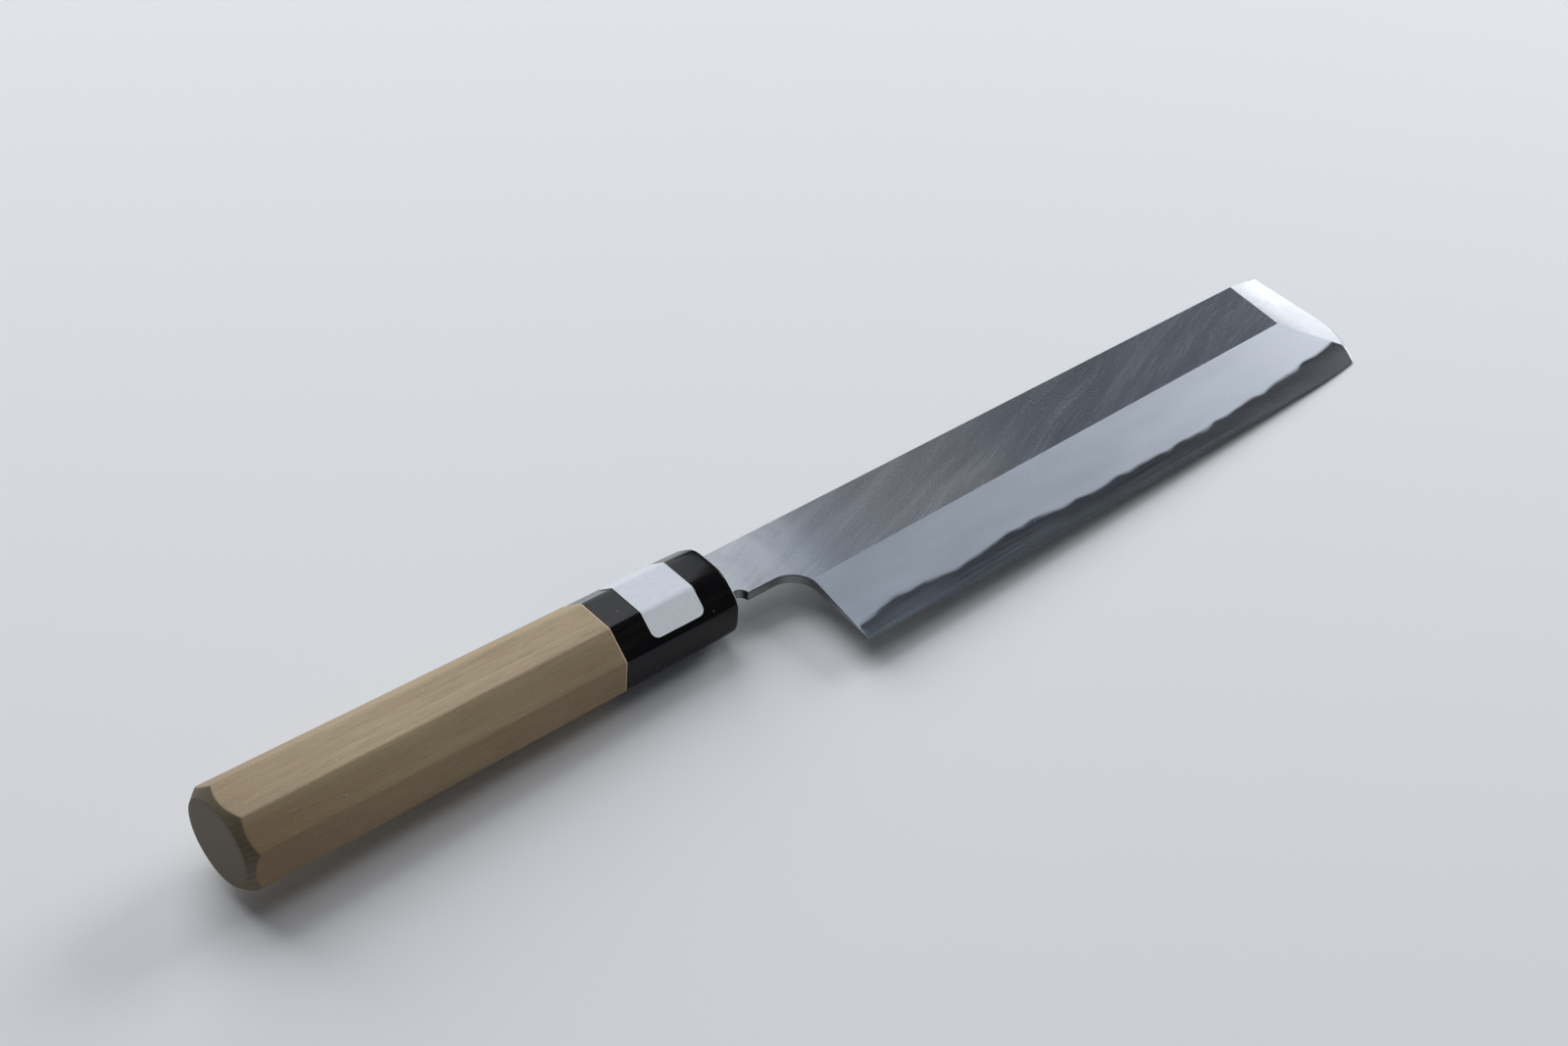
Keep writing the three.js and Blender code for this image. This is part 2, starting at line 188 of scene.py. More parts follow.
# The outline, from the end of the tang along its lower side to the heel, the edge, the front and the spine.
notch_points = 12
neck_points = 30
edge_points = 121
round_points = 40
spine_points = 105
lean = math.atan2(heel_lean, heel_drop - neck_drop)
fillet_x = heel_x + heel_lean - neck_fillet / math.tan((math.pi / 2 - lean) / 2)
tang_line = [(-tang_depth, -tang_end_height / 2), (ferrule_length, -tang_bottom)]
notch_line = arc(ferrule_length + notch_length, -neck_drop, notch_radius, math.pi / 2, 0, notch_points)
neck_line = arc(fillet_x, -neck_drop - neck_fillet, neck_fillet, math.pi / 2, -lean, neck_points)
edge_line = [(x, float(edge_y(x))) for x in np.linspace(heel_x, corner_x, edge_points)]
front_line = arc(round_x, round_y, round_radius, -round_angle, 0, round_points)
spine_line = [(x, spine_y(x)) for x in np.linspace(front_x, shoulder_x, spine_points)]
shoulder_line = [(shoulder_x, tang_top), (ferrule_length, tang_top), (-tang_depth, tang_end_height / 2)]
outline = tang_line + notch_line + neck_line + edge_line + front_line[1:] + spine_line + shoulder_line
choil_line = notch_line + neck_line + edge_line[:1]

# Where the ground surfaces meet: the ridge, both lines of the front bevel, the inner line of the corner.
ridge_points = 90
tip_points = 14
front_points = 40
low_corner_points = 24
high_corner_points = 20
overrun = 1.0  # lines run past the outline by this or a little more, so that they cut it
front_search = 5.0  # bevel and front bevel meet no further behind the ridge's end than this
corner_search = 4 * corner_bevel_width  # the corner bevel starts no further inside the outline than this

ridge_end = solve(lambda x: x - (front_x - tip_length(ridge_y(x))), heel_x, front_x)
ridge_line = [(x, ridge_y(x)) for x in np.linspace(heel_x - 3 * overrun, ridge_end, ridge_points)]
tip_ys = np.linspace(spine_at_front + overrun, ridge_y(ridge_end), tip_points)
tip_line = [(front_x - tip_length(y), y) for y in tip_ys]


def tip_meets_bevel(y):
    return solve(lambda x: bevel_z(x, y) - tip_z(x, y), ridge_end - front_search, front_x + overrun)


def corner_above_tip(y):
    x = tip_meets_bevel(y)
    return float(tip_z(x, y) - corner_z(x, y))


corner_meet = solve(lambda drop: corner_above_tip(-drop), -float(round_y), heel_drop - edge_belly)
bevel_front_y = np.linspace(ridge_y(ridge_end), -corner_meet, front_points)
bevel_front = [(ridge_end, ridge_y(ridge_end))] + [(tip_meets_bevel(y), y) for y in bevel_front_y[1:]]


def corner_inside(turn):
    """The place on a ray from the round's centre where the corner bevel starts."""
    ray = np.array([math.cos(turn), math.sin(turn)])

    def gap(reach):
        x, y = round_x + reach * ray[0], round_y + reach * ray[1]
        return float(min(bevel_z(x, y), tip_z(x, y)) - corner_z(x, y))

    reach = solve(gap, round_radius - corner_search, round_radius)
    return round_x + reach * ray[0], round_y + reach * ray[1]


meet_x, meet_y = bevel_front[-1]
meet_turn = math.atan2(meet_y - round_y, meet_x - round_x)
below_meet = [corner_inside(turn) for turn in np.linspace(-round_angle, meet_turn, low_corner_points)[1:-1]]
above_meet = [corner_inside(turn) for turn in np.linspace(meet_turn, 0, high_corner_points)[1:-1]]
corner_line = [edge_line[-1], *below_meet, bevel_front[-1], *above_meet, front_line[-1]]

# The weld between iron and steel rises and falls, as hammering left it, and the ground bevel lays it bare.
steel_thickness = 0.59
steel_lap = 3.0  # the steel reaches this far behind the heel
weld_gap = 0.02
weld_swell = 0.1
weld_swell_crest = 42.0
weld_swell_length = 165.0
heel_wave = 0.14
heel_wave_crest = 16.0
heel_wave_length = 42.0
heel_wave_reach = 45.0
ripple = 0.022
ripple_length = 13.0
fine_ripple = 0.011
fine_ripple_length = 7.65
weld_points = 420
weld_search = 9.0  # the weld comes out on the front bevel no further behind the front end than this


def wave(run, length):
    return np.cos(2 * np.pi * run / length)


def weld_z(x):
    run = x - heel_x
    swell = weld_swell * wave(run - weld_swell_crest, weld_swell_length)
    heel_waves = heel_wave * np.exp(-run / heel_wave_reach) * wave(run - heel_wave_crest, heel_wave_length)
    ripples = ripple * wave(run, ripple_length) + fine_ripple * wave(run, fine_ripple_length)
    return steel_thickness - back_depth + swell + heel_waves + ripples


def weld_y(x):
    """The weld line on the bevel."""
    share = (weld_z(x) - edge_z) / (face_z(x) - edge_z)
    return edge_y(x) + (ridge_y(x) - edge_y(x)) * share


def lap_line(y):
    return heel_line(y) - steel_lap


def weld_above_tip(drop):
    x = tip_meets_bevel(-drop)
    return float(weld_z(x) - tip_z(x, -drop))


def weld_meets_tip(y):
    return solve(lambda x: float(weld_z(x) - tip_z(x, y)), front_x - weld_search, front_x)


weld_end_y = -solve(weld_above_tip, ridge_at_front, corner_meet)
weld_end = (tip_meets_bevel(weld_end_y), weld_end_y)
bevel_front = sorted(bevel_front + [weld_end], key=lambda p: -p[1])
weld_line_x = np.linspace(heel_x - 2 * overrun, weld_end[0], weld_points)
weld_line = [(x, float(weld_y(x))) for x in weld_line_x[:-1]] + [weld_end]
weld_front_y = np.linspace(weld_end_y, spine_at_front + overrun, front_points)
weld_front = [weld_end] + [(weld_meets_tip(y), y) for y in weld_front_y[1:]]

# The flat back has a shallow hollow inside a rim.
hollow_depth = 0.2
hollow_rim = 3.0
hollow_squareness = 6  # the higher, the steeper the hollow's two ends
hollow_points = 70
hollow_start = heel_x + heel_lean + hollow_rim
hollow_end = corner_x - hollow_rim


def hollow_side(x, side):
    return (spine_y(x) - hollow_rim) if side > 0 else (edge_y(x) + hollow_rim)


def back_z(x, y):
    run = np.clip((2 * x - hollow_start - hollow_end) / (hollow_end - hollow_start), -1, 1)
    top, bottom = hollow_side(x, 1), hollow_side(x, -1)
    across = np.clip((2 * y - top - bottom) / (top - bottom), -1, 1)
    return -back_depth + hollow_depth * np.sqrt(1 - run ** hollow_squareness) * (1 - across ** 2)


hollow_xs = np.linspace(hollow_start, hollow_end, hollow_points)
hollow_loop = [(x, float(hollow_side(x, 1))) for x in hollow_xs]
hollow_loop += [(x, float(hollow_side(x, -1))) for x in hollow_xs[::-1]]
hollow_loop.append(hollow_loop[0])


def across_hollow(x, share):
    low, high = hollow_side(x, -1), hollow_side(x, 1)
    return float(low + (high - low) * share)


# Loose points bend the hollow smoothly, and give the material fine values beside the weld line.
hollow_shares = np.linspace(0.1, 0.9, 9)
weld_rises = (-2.4, -1.2, -0.5, 0.4, 0.9, 1.6, 2.6)
row_points = 180
row_heel_gap = 1.5
row_front_gap = 1.0
row_edge_gap = 0.3
loose_points = [(x, across_hollow(x, share)) for x in hollow_xs[1:-1] for share in hollow_shares]
row_xs = np.linspace(heel_x + row_heel_gap, weld_end[0] - row_front_gap, row_points)
for rise in weld_rises:
    row = [(x, float(weld_y(x) + rise)) for x in row_xs]
    loose_points += [(x, y) for x, y in row if y > edge_y(x) + row_edge_gap]

# The steel's rear end, and the lines of the small chamfers.
lap_points = 40
lap_ys = np.linspace(-heel_drop, spine_at_front + 2 * overrun, lap_points)
lap_lines = [[(lap_line(y) - gap, y) for y in lap_ys] for gap in (0, weld_gap)]
eased_xs = np.linspace(front_x + overrun, shoulder_x - overrun, spine_points)
eased_spine = [(x, spine_y(x) - eased_edge) for x in eased_xs]
eased_choil = inset_line(choil_line)[:-1] + choil_line[-1:]
ground_lines = [ridge_line, tip_line, bevel_front, corner_line, weld_line, weld_front, hollow_loop]
lines = [outline + outline[:1], *ground_lines, *lap_lines, eased_spine, eased_choil]
same_point = 1e-5  # points nearer than this become one


def inside_outline(points):
    """Which points lie inside the blade's side view."""
    corners = np.array(outline)
    ahead = np.roll(corners, -1, axis=0)
    inside = np.zeros(len(points), bool)
    for (ax, ay), (bx, by) in zip(corners, ahead):
        spans = (ay > points[:, 1]) != (by > points[:, 1])
        if spans.any():
            crossing = ax + (points[spans, 1] - ay) * (bx - ax) / (by - ay)
            inside[spans] ^= points[spans, 0] < crossing
    return inside


def plan(lines, loose):
    """Triangles over the blade's side view that have every line among their edges."""
    places, edges = [], []
    for line in lines:
        start = len(places)
        places += [Vector(p) for p in line]
        edges += [(i, i + 1) for i in range(start, len(places) - 1)]
    places += [Vector(p) for p in loose]
    found, _, triangles, *_ = delaunay_2d_cdt(places, edges, [], 0, same_point)
    spots = np.array([tuple(p) for p in found])
    triangles = np.array(triangles)
    return spots, triangles[inside_outline(spots[triangles].mean(axis=1))]


spots, triangles = plan(lines, loose_points)
plan_x, plan_y = spots.T
middles = spots[triangles].mean(axis=1)


def distance_to(line, points):
    """Each point's distance to a line of points."""
    line = np.array(line)
    nearest = np.full(len(points), np.inf)
    for a, b in zip(line, line[1:]):
        share = np.clip(((points - a) @ (b - a)) / ((b - a) @ (b - a)), 0, 1)
        nearest = np.minimum(nearest, np.linalg.norm(points - a - share[:, None] * (b - a), axis=1))
    return nearest


def eased(points):
    """How much of the chamfer is taken off at each point: 1 on the eased edges, 0 away from them."""
    reach = np.minimum(distance_to(spine_line, points), distance_to(choil_line, points))
    return np.clip(1 - reach / easing(points), 0, 1)


chamfer_share = 0.35  # the chamfer on either side takes at most this share of the thickness
least_eased = 0.02  # from here on, a triangle counts as part of the chamfer
bare_top = ground_z(plan_x, plan_y).min(axis=0)
bare_back = back_z(plan_x, plan_y)
tang_share = np.clip((ferrule_length - plan_x) / (ferrule_length + tang_depth), 0, 1)
bare_top = bare_top + (tang_end_thickness / 2 - face_z(ferrule_length)) * tang_share
bare_back = bare_back + (back_depth - tang_end_thickness / 2) * tang_share
chamfer = np.minimum(easing(spots), chamfer_share * (bare_top - bare_back)) * eased(spots)
top = bare_top - chamfer
back = bare_back + chamfer
weld = weld_z(plan_x)
surface_of = ground_z(*middles.T).argmin(axis=0)  # 0 face, 1 bevel, 2 front bevel, 3 corner bevel
is_eased = eased(middles) > least_eased
laid = middles[:, 0] > lap_line(middles[:, 1])
above_weld = ground_z(*middles.T).min(axis=0) > weld_z(middles[:, 0])

# The knife's own frame, from the record: the back of the blade lies in the plane of its mount.
metre = 1000  # in millimetres
mount = next(m for m in frame["record"]["mounts"] if m["name"] == "blade_back")
mount_x = 120.0
mount_below_spine = 1.5
out_of_back = Vector(mount["axis"]).normalized()
knife_z = -out_of_back
knife_y = Vector((0, 1, 0))
knife_x = knife_y.cross(knife_z)
mount_place = Vector((mount_x, spine_y(mount_x) - mount_below_spine, -back_depth)) / metre
axes = Matrix((knife_x, knife_y, knife_z)).transposed().to_4x4()
origin = Vector(mount["pos_m"]) - axes @ mount_place
at_rest = Matrix.Translation(origin) @ axes @ Matrix.Scale(1 / metre, 4)


def crease(mesh, angle):
    """Smooth shading, but for edges that turn by more than the angle, in degrees, or part two materials."""
    shape = bmesh.new()
    shape.from_mesh(mesh)
    for face in shape.faces:
        face.smooth = True
    for edge in shape.edges:
        apart = len({f.material_index for f in edge.link_faces}) > 1
        edge.smooth = not apart and edge.calc_face_angle(0) < math.radians(angle)
    shape.to_mesh(mesh)
    shape.free()


def set_down(name, mesh, node, materials=(), angle=30):
    """A finished piece: it is laid at rest, rides with the knife and stands for its CAD node."""
    mesh.transform(at_rest)
    for material in materials:
        mesh.materials.append(material)
    crease(mesh, angle)
    piece = bpy.data.objects.new(name, mesh)
    bpy.context.scene.collection.objects.link(piece)
    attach(piece, "root")
    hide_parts(node)


least_thickness = 1e-4  # a thinner place counts as an edge


def plate(name, kept, upper, lower, upper_looks, lower_looks, wall_look):
    """A closed body over some triangles of the plan, between two heights.

    Where these meet, it ends in an edge.
    """
    thick = upper - lower > least_thickness
    kept = kept & thick[triangles].any(axis=1)
    used = np.unique(triangles[kept])
    number = {}
    points = []
    for i in used:
        number[i, True] = len(points)
        points.append((*spots[i], upper[i]))
        if thick[i]:
            points.append((*spots[i], lower[i]))
        number[i, False] = len(points) - 1
    faces, looks, sides = [], [], {}
    for index in np.flatnonzero(kept):
        a, b, c = triangles[index]
        faces.append([number[i, True] for i in (a, b, c)])
        looks.append(upper_looks[index])
        faces.append([number[i, False] for i in (c, b, a)])
        looks.append(lower_looks[index])
        for side in ((a, b), (b, c), (c, a)):
            sides[side] = True
    for a, b in sides:
        if (b, a) not in sides:
            wall = [number[a, False], number[b, False], number[b, True], number[a, True]]
            wall = list(dict.fromkeys(wall))
            if len(wall) > 2:
                faces.append(wall)
                looks.append(wall_look)
    mesh = bpy.data.meshes.new(name)
    mesh.from_pydata(points, [], faces)
    mesh.polygons.foreach_set("material_index", looks)
    return mesh


class Wire:
    """A socket of a node tree in an expression: the operators add Math nodes, and node() adds any other."""

    def __init__(self, tree, socket):
        self.tree = tree
        self.socket = socket

    def node(self, kind, settings, sockets, output=0):
        made = self.tree.nodes.new(kind)
        for name, value in settings.items():
            setattr(made, name, value)
        for name, value in sockets.items():
            if isinstance(value, Wire):
                self.tree.links.new(value.socket, made.inputs[name])
            else:
                made.inputs[name].default_value = value
        return Wire(self.tree, made.outputs[output])

    def math(self, operation, *values):
        return self.node("ShaderNodeMath", {"operation": operation}, dict(enumerate(values)))

    def __add__(self, other):
        return self.math("ADD", self, other)

    def __radd__(self, other):
        return self.math("ADD", other, self)

    def __sub__(self, other):
        return self.math("SUBTRACT", self, other)

    def __rsub__(self, other):
        return self.math("SUBTRACT", other, self)

    def __mul__(self, other):
        return self.math("MULTIPLY", self, other)

    def __rmul__(self, other):
        return self.math("MULTIPLY", other, self)

    def __truediv__(self, other):
        return self.math("DIVIDE", self, other)

    def __rtruediv__(self, other):
        return self.math("DIVIDE", other, self)

    def __pow__(self, other):
        return self.math("POWER", self, other)

    def step(self, low, high):
        """A smooth step from 0 at low to 1 at high."""
        sockets = {"Value": self, "From Min": low, "From Max": high}
        return self.node("ShaderNodeMapRange", {"interpolation_type": "SMOOTHSTEP"}, sockets)

    def part(self, axis):
        return self.node("ShaderNodeSeparateXYZ", {}, {"Vector": self}, axis)

    def spread(self, turn, scale):
        """These coordinates turned in the plane of the blade, in degrees, and then stretched."""
        turning = (0, 0, math.radians(-turn))
        turned = self.node("ShaderNodeMapping", {}, {"Vector": self, "Rotation": turning})
        return turned.node("ShaderNodeVectorMath", {"operation": "MULTIPLY"}, {0: turned, 1: scale})

    def moved(self, y, z=0.0):
        """These coordinates moved sideways by varying amounts."""
        step = self.node("ShaderNodeCombineXYZ", {}, {"X": 0.0, "Y": y, "Z": z})
        return self.node("ShaderNodeVectorMath", {"operation": "ADD"}, {0: self, 1: step})

    def noise(self, detail, roughness=0.5):
        sockets = {"Vector": self, "Scale": 1.0, "Detail": detail, "Roughness": roughness}
        return self.node("ShaderNodeTexNoise", {}, sockets)

    def specks(self, radius, share):
        """Round specks of this radius, in a share of cells of size 1. Stretched, they are scratches."""
        cells = {"Vector": self, "Scale": 1.0}
        distance = self.node("ShaderNodeTexVoronoi", {}, cells, "Distance")
        kind = self.node("ShaderNodeTexVoronoi", {}, cells, "Color").part(0)
        soft_rim = 0.4 * radius
        sharp_choice = 0.01
        return (radius - distance).step(0.0, soft_rim) * (share - kind).step(0.0, sharp_choice)

    def attribute(self, name):
        return self.node("ShaderNodeAttribute", {"attribute_name": name}, {}, "Fac")

    def distance(self, point):
        return self.node("ShaderNodeVectorMath", {"operation": "DISTANCE"}, {0: self, 1: point}, "Value")

    def mix(self, first, second):
        """A colour between two colours, by this factor."""
        colour_output = 2
        sockets = {"Factor": self, "A": first, "B": second}
        return self.node("ShaderNodeMix", {"data_type": "RGBA"}, sockets, colour_output)


def finish(name, paint, constants):
    """A material from a function that gives its varying sockets and the height of its bump, in millimetres.

    The function is given the place in the knife's own millimetres.
    """
    material = bpy.data.materials.new(name)
    material.use_nodes = True
    tree = material.node_tree
    shader = tree.nodes["Principled BSDF"]
    for socket, value in constants.items():
        shader.inputs[socket].default_value = value
    coordinates = Wire(tree, tree.nodes.new("ShaderNodeTexCoord").outputs["Object"])
    to_knife = {
        "Vector": coordinates,
        "Location": at_rest.to_translation(),
        "Rotation": at_rest.to_euler(),
        "Scale": at_rest.to_scale(),
    }
    varying = paint(coordinates.node("ShaderNodeMapping", {"vector_type": "TEXTURE"}, to_knife))
    height = varying.pop("Bump")
    bump = {"Height": height, "Distance": 1 / metre, "Strength": 1.0}
    varying["Normal"] = height.node("ShaderNodeBump", {}, bump)
    for socket, wire in varying.items():
        tree.links.new(wire.socket, shader.inputs[socket])
    return material


black = (0, 0, 0, 1)
plain_steel = (0.99, 1.0, 1.01, 1)
blue_steel = (0.92, 1.0, 1.1, 1)
neck_swirl_x = 24.0  # the buffing marks by the neck curve round this place
buffed_slant = 0.6

# Each pair is a stretch along the knife over which the face changes: its buffing, its scratches, and the
# light and shade painted on it.
buffed_end = (47.0, 74.0)
dark_start = (58.0, 70.0)
dark_end = (84.0, 106.0)
light_patch_start = (58.0, 92.0)
light_patch_end = (112.0, 145.0)
light_patch_drop = (-6.0, 10.0)  # this one is in depth below the axis
scratched_start = (110.0, 215.0)


def face_paint(place):
    """Satin ground face: fine slanting lines, hairline scratches towards the tip, soft arcs by the neck.

    Light and shade are painted on the face: it is lightest by the neck, darker in a band just in front of
    it, and warmer and lighter by the ridge in its rear half.
    """
    x = place.part(0)
    y = place.part(1)
    to_tip = x.step(*scratched_start)
    by_neck = 1 - (x - buffed_slant * y).step(*buffed_end)
    rear = x.step(*dark_start) * (1 - x.step(*dark_end))
    painted_light_patch = x.step(*light_patch_start) * (1 - x.step(*light_patch_end))
    by_ridge = (0 - y).step(*light_patch_drop)
    bend = place.spread(0, (0.05, 0.05, 1)).noise(1.0)
    bent = place.moved(bend * 4.0)
    fine = bent.spread(21, (0.05, 3.4, 1)).noise(3.0, 0.65)
    broad = bent.spread(20, (0.02, 0.22, 1)).noise(2.0, 0.5)
    steep = bent.spread(27, (0.045, 2.6, 1)).specks(0.24, 0.55)
    slight = bent.spread(18, (0.035, 2.2, 1)).specks(0.2, 0.5)
    hairs = (steep + slight) * (0.05 + 0.95 * to_tip)
    nicks = place.spread(65, (0.2, 2.6, 1)).specks(0.16, 0.05)
    dust = place.spread(0, (0.16, 0.16, 0.16)).specks(0.022, 0.5)
    turn_out = place.spread(0, (1, 1, 0)).distance((neck_swirl_x, 0, 0)) + 9 * bend
    swirl = {"X": 0.1 * turn_out, "Y": 0.05 * y, "Z": 0.03 * x}
    arcs = place.node("ShaderNodeCombineXYZ", {}, swirl).noise(2.0, 0.5)
    even = 0.235 + 0.11 * fine + 0.07 * broad + 0.12 * by_neck * (arcs - 0.5)
    # Painted light and shade: lighter by the neck and by the ridge in the rear half, darker just in front
    # of the neck. The tint follows the painted light.
    shade = 1.0 + 0.12 * by_neck + 0.16 * by_ridge * painted_light_patch - 0.16 * rear
    tone = even * shade + 0.36 * hairs + 0.12 * nicks + 0.5 * dust
    tint = (0.8 * painted_light_patch + 0.6 * by_neck).mix(blue_steel, plain_steel)
    return {
        "Base Color": tone.mix(black, tint),
        "Roughness": 0.21 + 0.06 * fine + 0.05 * broad - 0.03 * hairs + 0.04 * by_neck * arcs,
        "Bump": 0.01 * broad + 0.05 * by_neck * arcs,
    }


blue_iron = (0.92, 1.0, 1.11, 1)
pale_iron = (0.97, 1.0, 1.05, 1)
weld_drift = 1.6  # how far the seen weld line wanders round the true one
narrow_bevel_width = 0.42
ridge_highlight_width = 0.22


def bevel_paint(place):
    """Stoned bevel: soft iron takes a pale haze, and the steel below the weld line stays dark and clear.

    The line between them is soft, and wanders a little round the true weld. The iron gets paler towards the
    tip, which is a painted reflection of the lamp beyond it. The edge has a narrow second bevel, and a thin
    painted highlight follows the ridge towards the tip.
    """
    to_tip = (place.part(0) - heel_x) / edge_length
    drift = place.spread(0, (0.07, 0.02, 1)).noise(4.0, 0.55)
    rise = place.attribute("weld_rise") + weld_drift * (drift - 0.5)
    above_edge = place.attribute("edge_rise")
    from_ridge = place.attribute("ridge_fall")
    grain = place.spread(8, (1.2, 3.5, 3.0)).noise(3.0, 0.7)
    dust = place.spread(0, (0.2, 0.2, 0.2)).specks(0.026, 0.5)
    clouds = place.spread(0, (0.03, 0.1, 1)).noise(2.0, 0.5)
    streaks = place.spread(2, (0.03, 1.4, 1)).noise(3.0, 0.6)
    softness = 0.8 + 1.6 * clouds
    haze = ((rise + 0.8 * (streaks - 0.5)) / softness).step(-0.1, 1.0)
    # Painted reflection: the iron's tone rises towards the tip.
    iron = 0.185 + 0.12 * to_tip + 0.16 * to_tip * to_tip + 0.08 * clouds + 0.08 * grain
    below = (0 - rise).step(0.2, 5.0)
    scratches = place.spread(58, (0.25, 2.4, 1)).specks(0.18, 0.04)
    steel = 0.18 + 0.14 * below + 0.16 * streaks + 0.2 * scratches
    narrow_bevel = (narrow_bevel_width - above_edge).step(0.0, 0.1)
    # Painted highlight: a thin light line along the ridge, towards the tip.
    ridge_highlight = (ridge_highlight_width - from_ridge).step(0.0, 0.15)
    bevel_line_and_highlight = 0.2 * narrow_bevel + 0.1 * ridge_highlight * to_tip
    tone = haze * iron + (1 - haze) * steel + bevel_line_and_highlight + 0.3 * dust
    dull = 0.42 + 0.08 * clouds
    clear = 0.16 + 0.08 * streaks
    return {
        "Base Color": tone.mix(black, to_tip.mix(blue_iron, pale_iron)),
        "Roughness": haze * dull + (1 - haze) * clear - 0.06 * narrow_bevel,
        "Bump": 0.0005 * streaks + 0.02 * clouds,
    }


brushed_end = (0.5, 8.0)  # distances from the line where the front bevel meets the face
highlight_line_end = (0.05, 0.2)


def tip_paint(place):
    """Bright front bevel: a painted highlight line and brushed lines next to the face, nearly white towards
    the edge.
    """
    x = place.part(0)
    y = place.part(1)
    widening = (tip_bevel_at_ridge - tip_bevel_at_spine) / (spine_at_front + ridge_at_front)
    from_face = x - (front_x - tip_bevel_at_spine) + widening * (spine_at_front - y)
    by_face = 1 - from_face.step(*brushed_end)
    # Painted highlight: a thin light line where the front bevel meets the face.
    bevel_line_and_highlight = 1 - from_face.step(*highlight_line_end)
    lines = place.spread(-22, (0.12, 5.0, 1)).noise(3.0, 0.7)
    clouds = place.spread(-22, (0.15, 0.4, 1)).noise(2.0)
    tone = 0.58 + 0.08 * lines + by_face * (0.42 * lines - 0.35) + 0.22 * bevel_line_and_highlight
    return {
        "Base Color": tone.mix(black, plain_steel),
        "Roughness": 0.16 + 0.14 * lines + 0.06 * clouds,
        "Bump": 0.002 * lines,
    }


wall_tint = (0.97, 1.0, 1.03, 1)


def wall_paint(place):
    """Spine, neck and heel, filed and polished along their length."""
    lines = place.spread(0, (0.15, 4.0, 6.0)).noise(3.0, 0.7)
    clouds = place.spread(0, (0.08, 0.2, 0.5)).noise(2.0)
    return {
        "Base Color": (0.18 + 0.12 * lines + 0.08 * clouds).mix(black, wall_tint),
        "Roughness": 0.26 + 0.2 * lines,
        "Bump": 0.003 * lines + 0.02 * clouds,
    }


metal = {"Metallic": 1.0}
face_finish = finish("satin_face", face_paint, metal)
bevel_finish = finish("hazy_bevel", bevel_paint, metal)
tip_finish = finish("bright_front_bevel", tip_paint, metal)
wall_finish = finish("filed_wall", wall_paint, metal)
blade_finishes = [face_finish, bevel_finish, tip_finish, tip_finish, wall_finish]
wall_look = blade_finishes.index(wall_finish)

iron_kept = above_weld | ~laid
iron_floor = np.where(plan_x > lap_line(plan_y) - weld_gap / 2, np.minimum(weld + weld_gap, bare_top), back)
iron_looks = np.where(is_eased, wall_look, surface_of)
iron_below = np.full(len(triangles), wall_look)
iron_mesh = plate("blade_iron_look", iron_kept, top, iron_floor, iron_looks, iron_below, wall_look)


def mark_lines(mesh):
    """Each point's rise over weld line and edge and its fall from the ridge, for the bevel's finish."""
    places = np.array([v.co for v in mesh.vertices])
    x, y = places[:, 0], places[:, 1]
    marks = {"weld_rise": y - weld_y(x), "edge_rise": y - edge_y(x), "ridge_fall": ridge_y(x) - y}
    for name, values in marks.items():
        mesh.attributes.new(name, "FLOAT", "POINT").data.foreach_set("value", values)


mark_lines(iron_mesh)
set_down("blade_iron_look", iron_mesh, "blade_iron", blade_finishes)

# Blade steel
# The hard steel layer, forge-welded under the iron: the flat hollow-ground back, and the dark band along
# the edge. The band is stoned finer than the iron, so it mirrors the room where the iron only hazes.

back_tint = (0.98, 1.0, 1.03, 1)


def back_paint(place):
    """Hollow-ground back: fine lines across the blade, from the wheel."""
    across = place.spread(80, (0.1, 3.0, 1)).noise(3.0, 0.7)
    clouds = place.spread(0, (0.04, 0.1, 1)).noise(2.0)
    return {
        "Base Color": (0.42 + 0.14 * across + 0.08 * clouds).mix(black, back_tint),
        "Roughness": 0.24 + 0.14 * across,
        "Bump": 0.002 * across + 0.05 * clouds,
    }


back_finish = finish("hollow_back", back_paint, metal)
steel_finishes = blade_finishes + [back_finish]
band_looks = np.where(is_eased | above_weld, wall_look, surface_of)
steel_top = np.minimum(top, weld)
steel_below = np.full(len(triangles), steel_finishes.index(back_finish))
steel_mesh = plate("blade_steel_look", laid, steel_top, back, band_looks, steel_below, wall_look)
mark_lines(steel_mesh)
set_down("blade_steel_look", steel_mesh, "blade_steel", steel_finishes)

# Handle
# The eight-sided grip of pale magnolia wood, planed and sanded, with softened arrises and a chamfer turned
# on the butt. A round tenon in front carries the ferrule, and the tang is burnt and driven into it.

wood_length = 103.2
butt_width = 26.0
butt_depth = 22.4
butt_top_facet = 12.2
butt_side_facet = 10.5
joint_width = 24.5
joint_depth = 20.6
joint_top_facet = 10.8
joint_side_facet = 8.9
butt_chamfer = 2.9
butt_inset = 1.3
joint_chamfer = 0.15
joint_inset = 0.6 * joint_chamfer
wood_arris = 110.0  # the higher, the sharper the arrises
tenon_radius = 7.4
seal_depth = 1.5
face_gap = 0.05
points_around = 320
closing_gap = 0.0005  # points nearer than this become one
no_turning = 1000.0  # a turned radius that cuts nothing


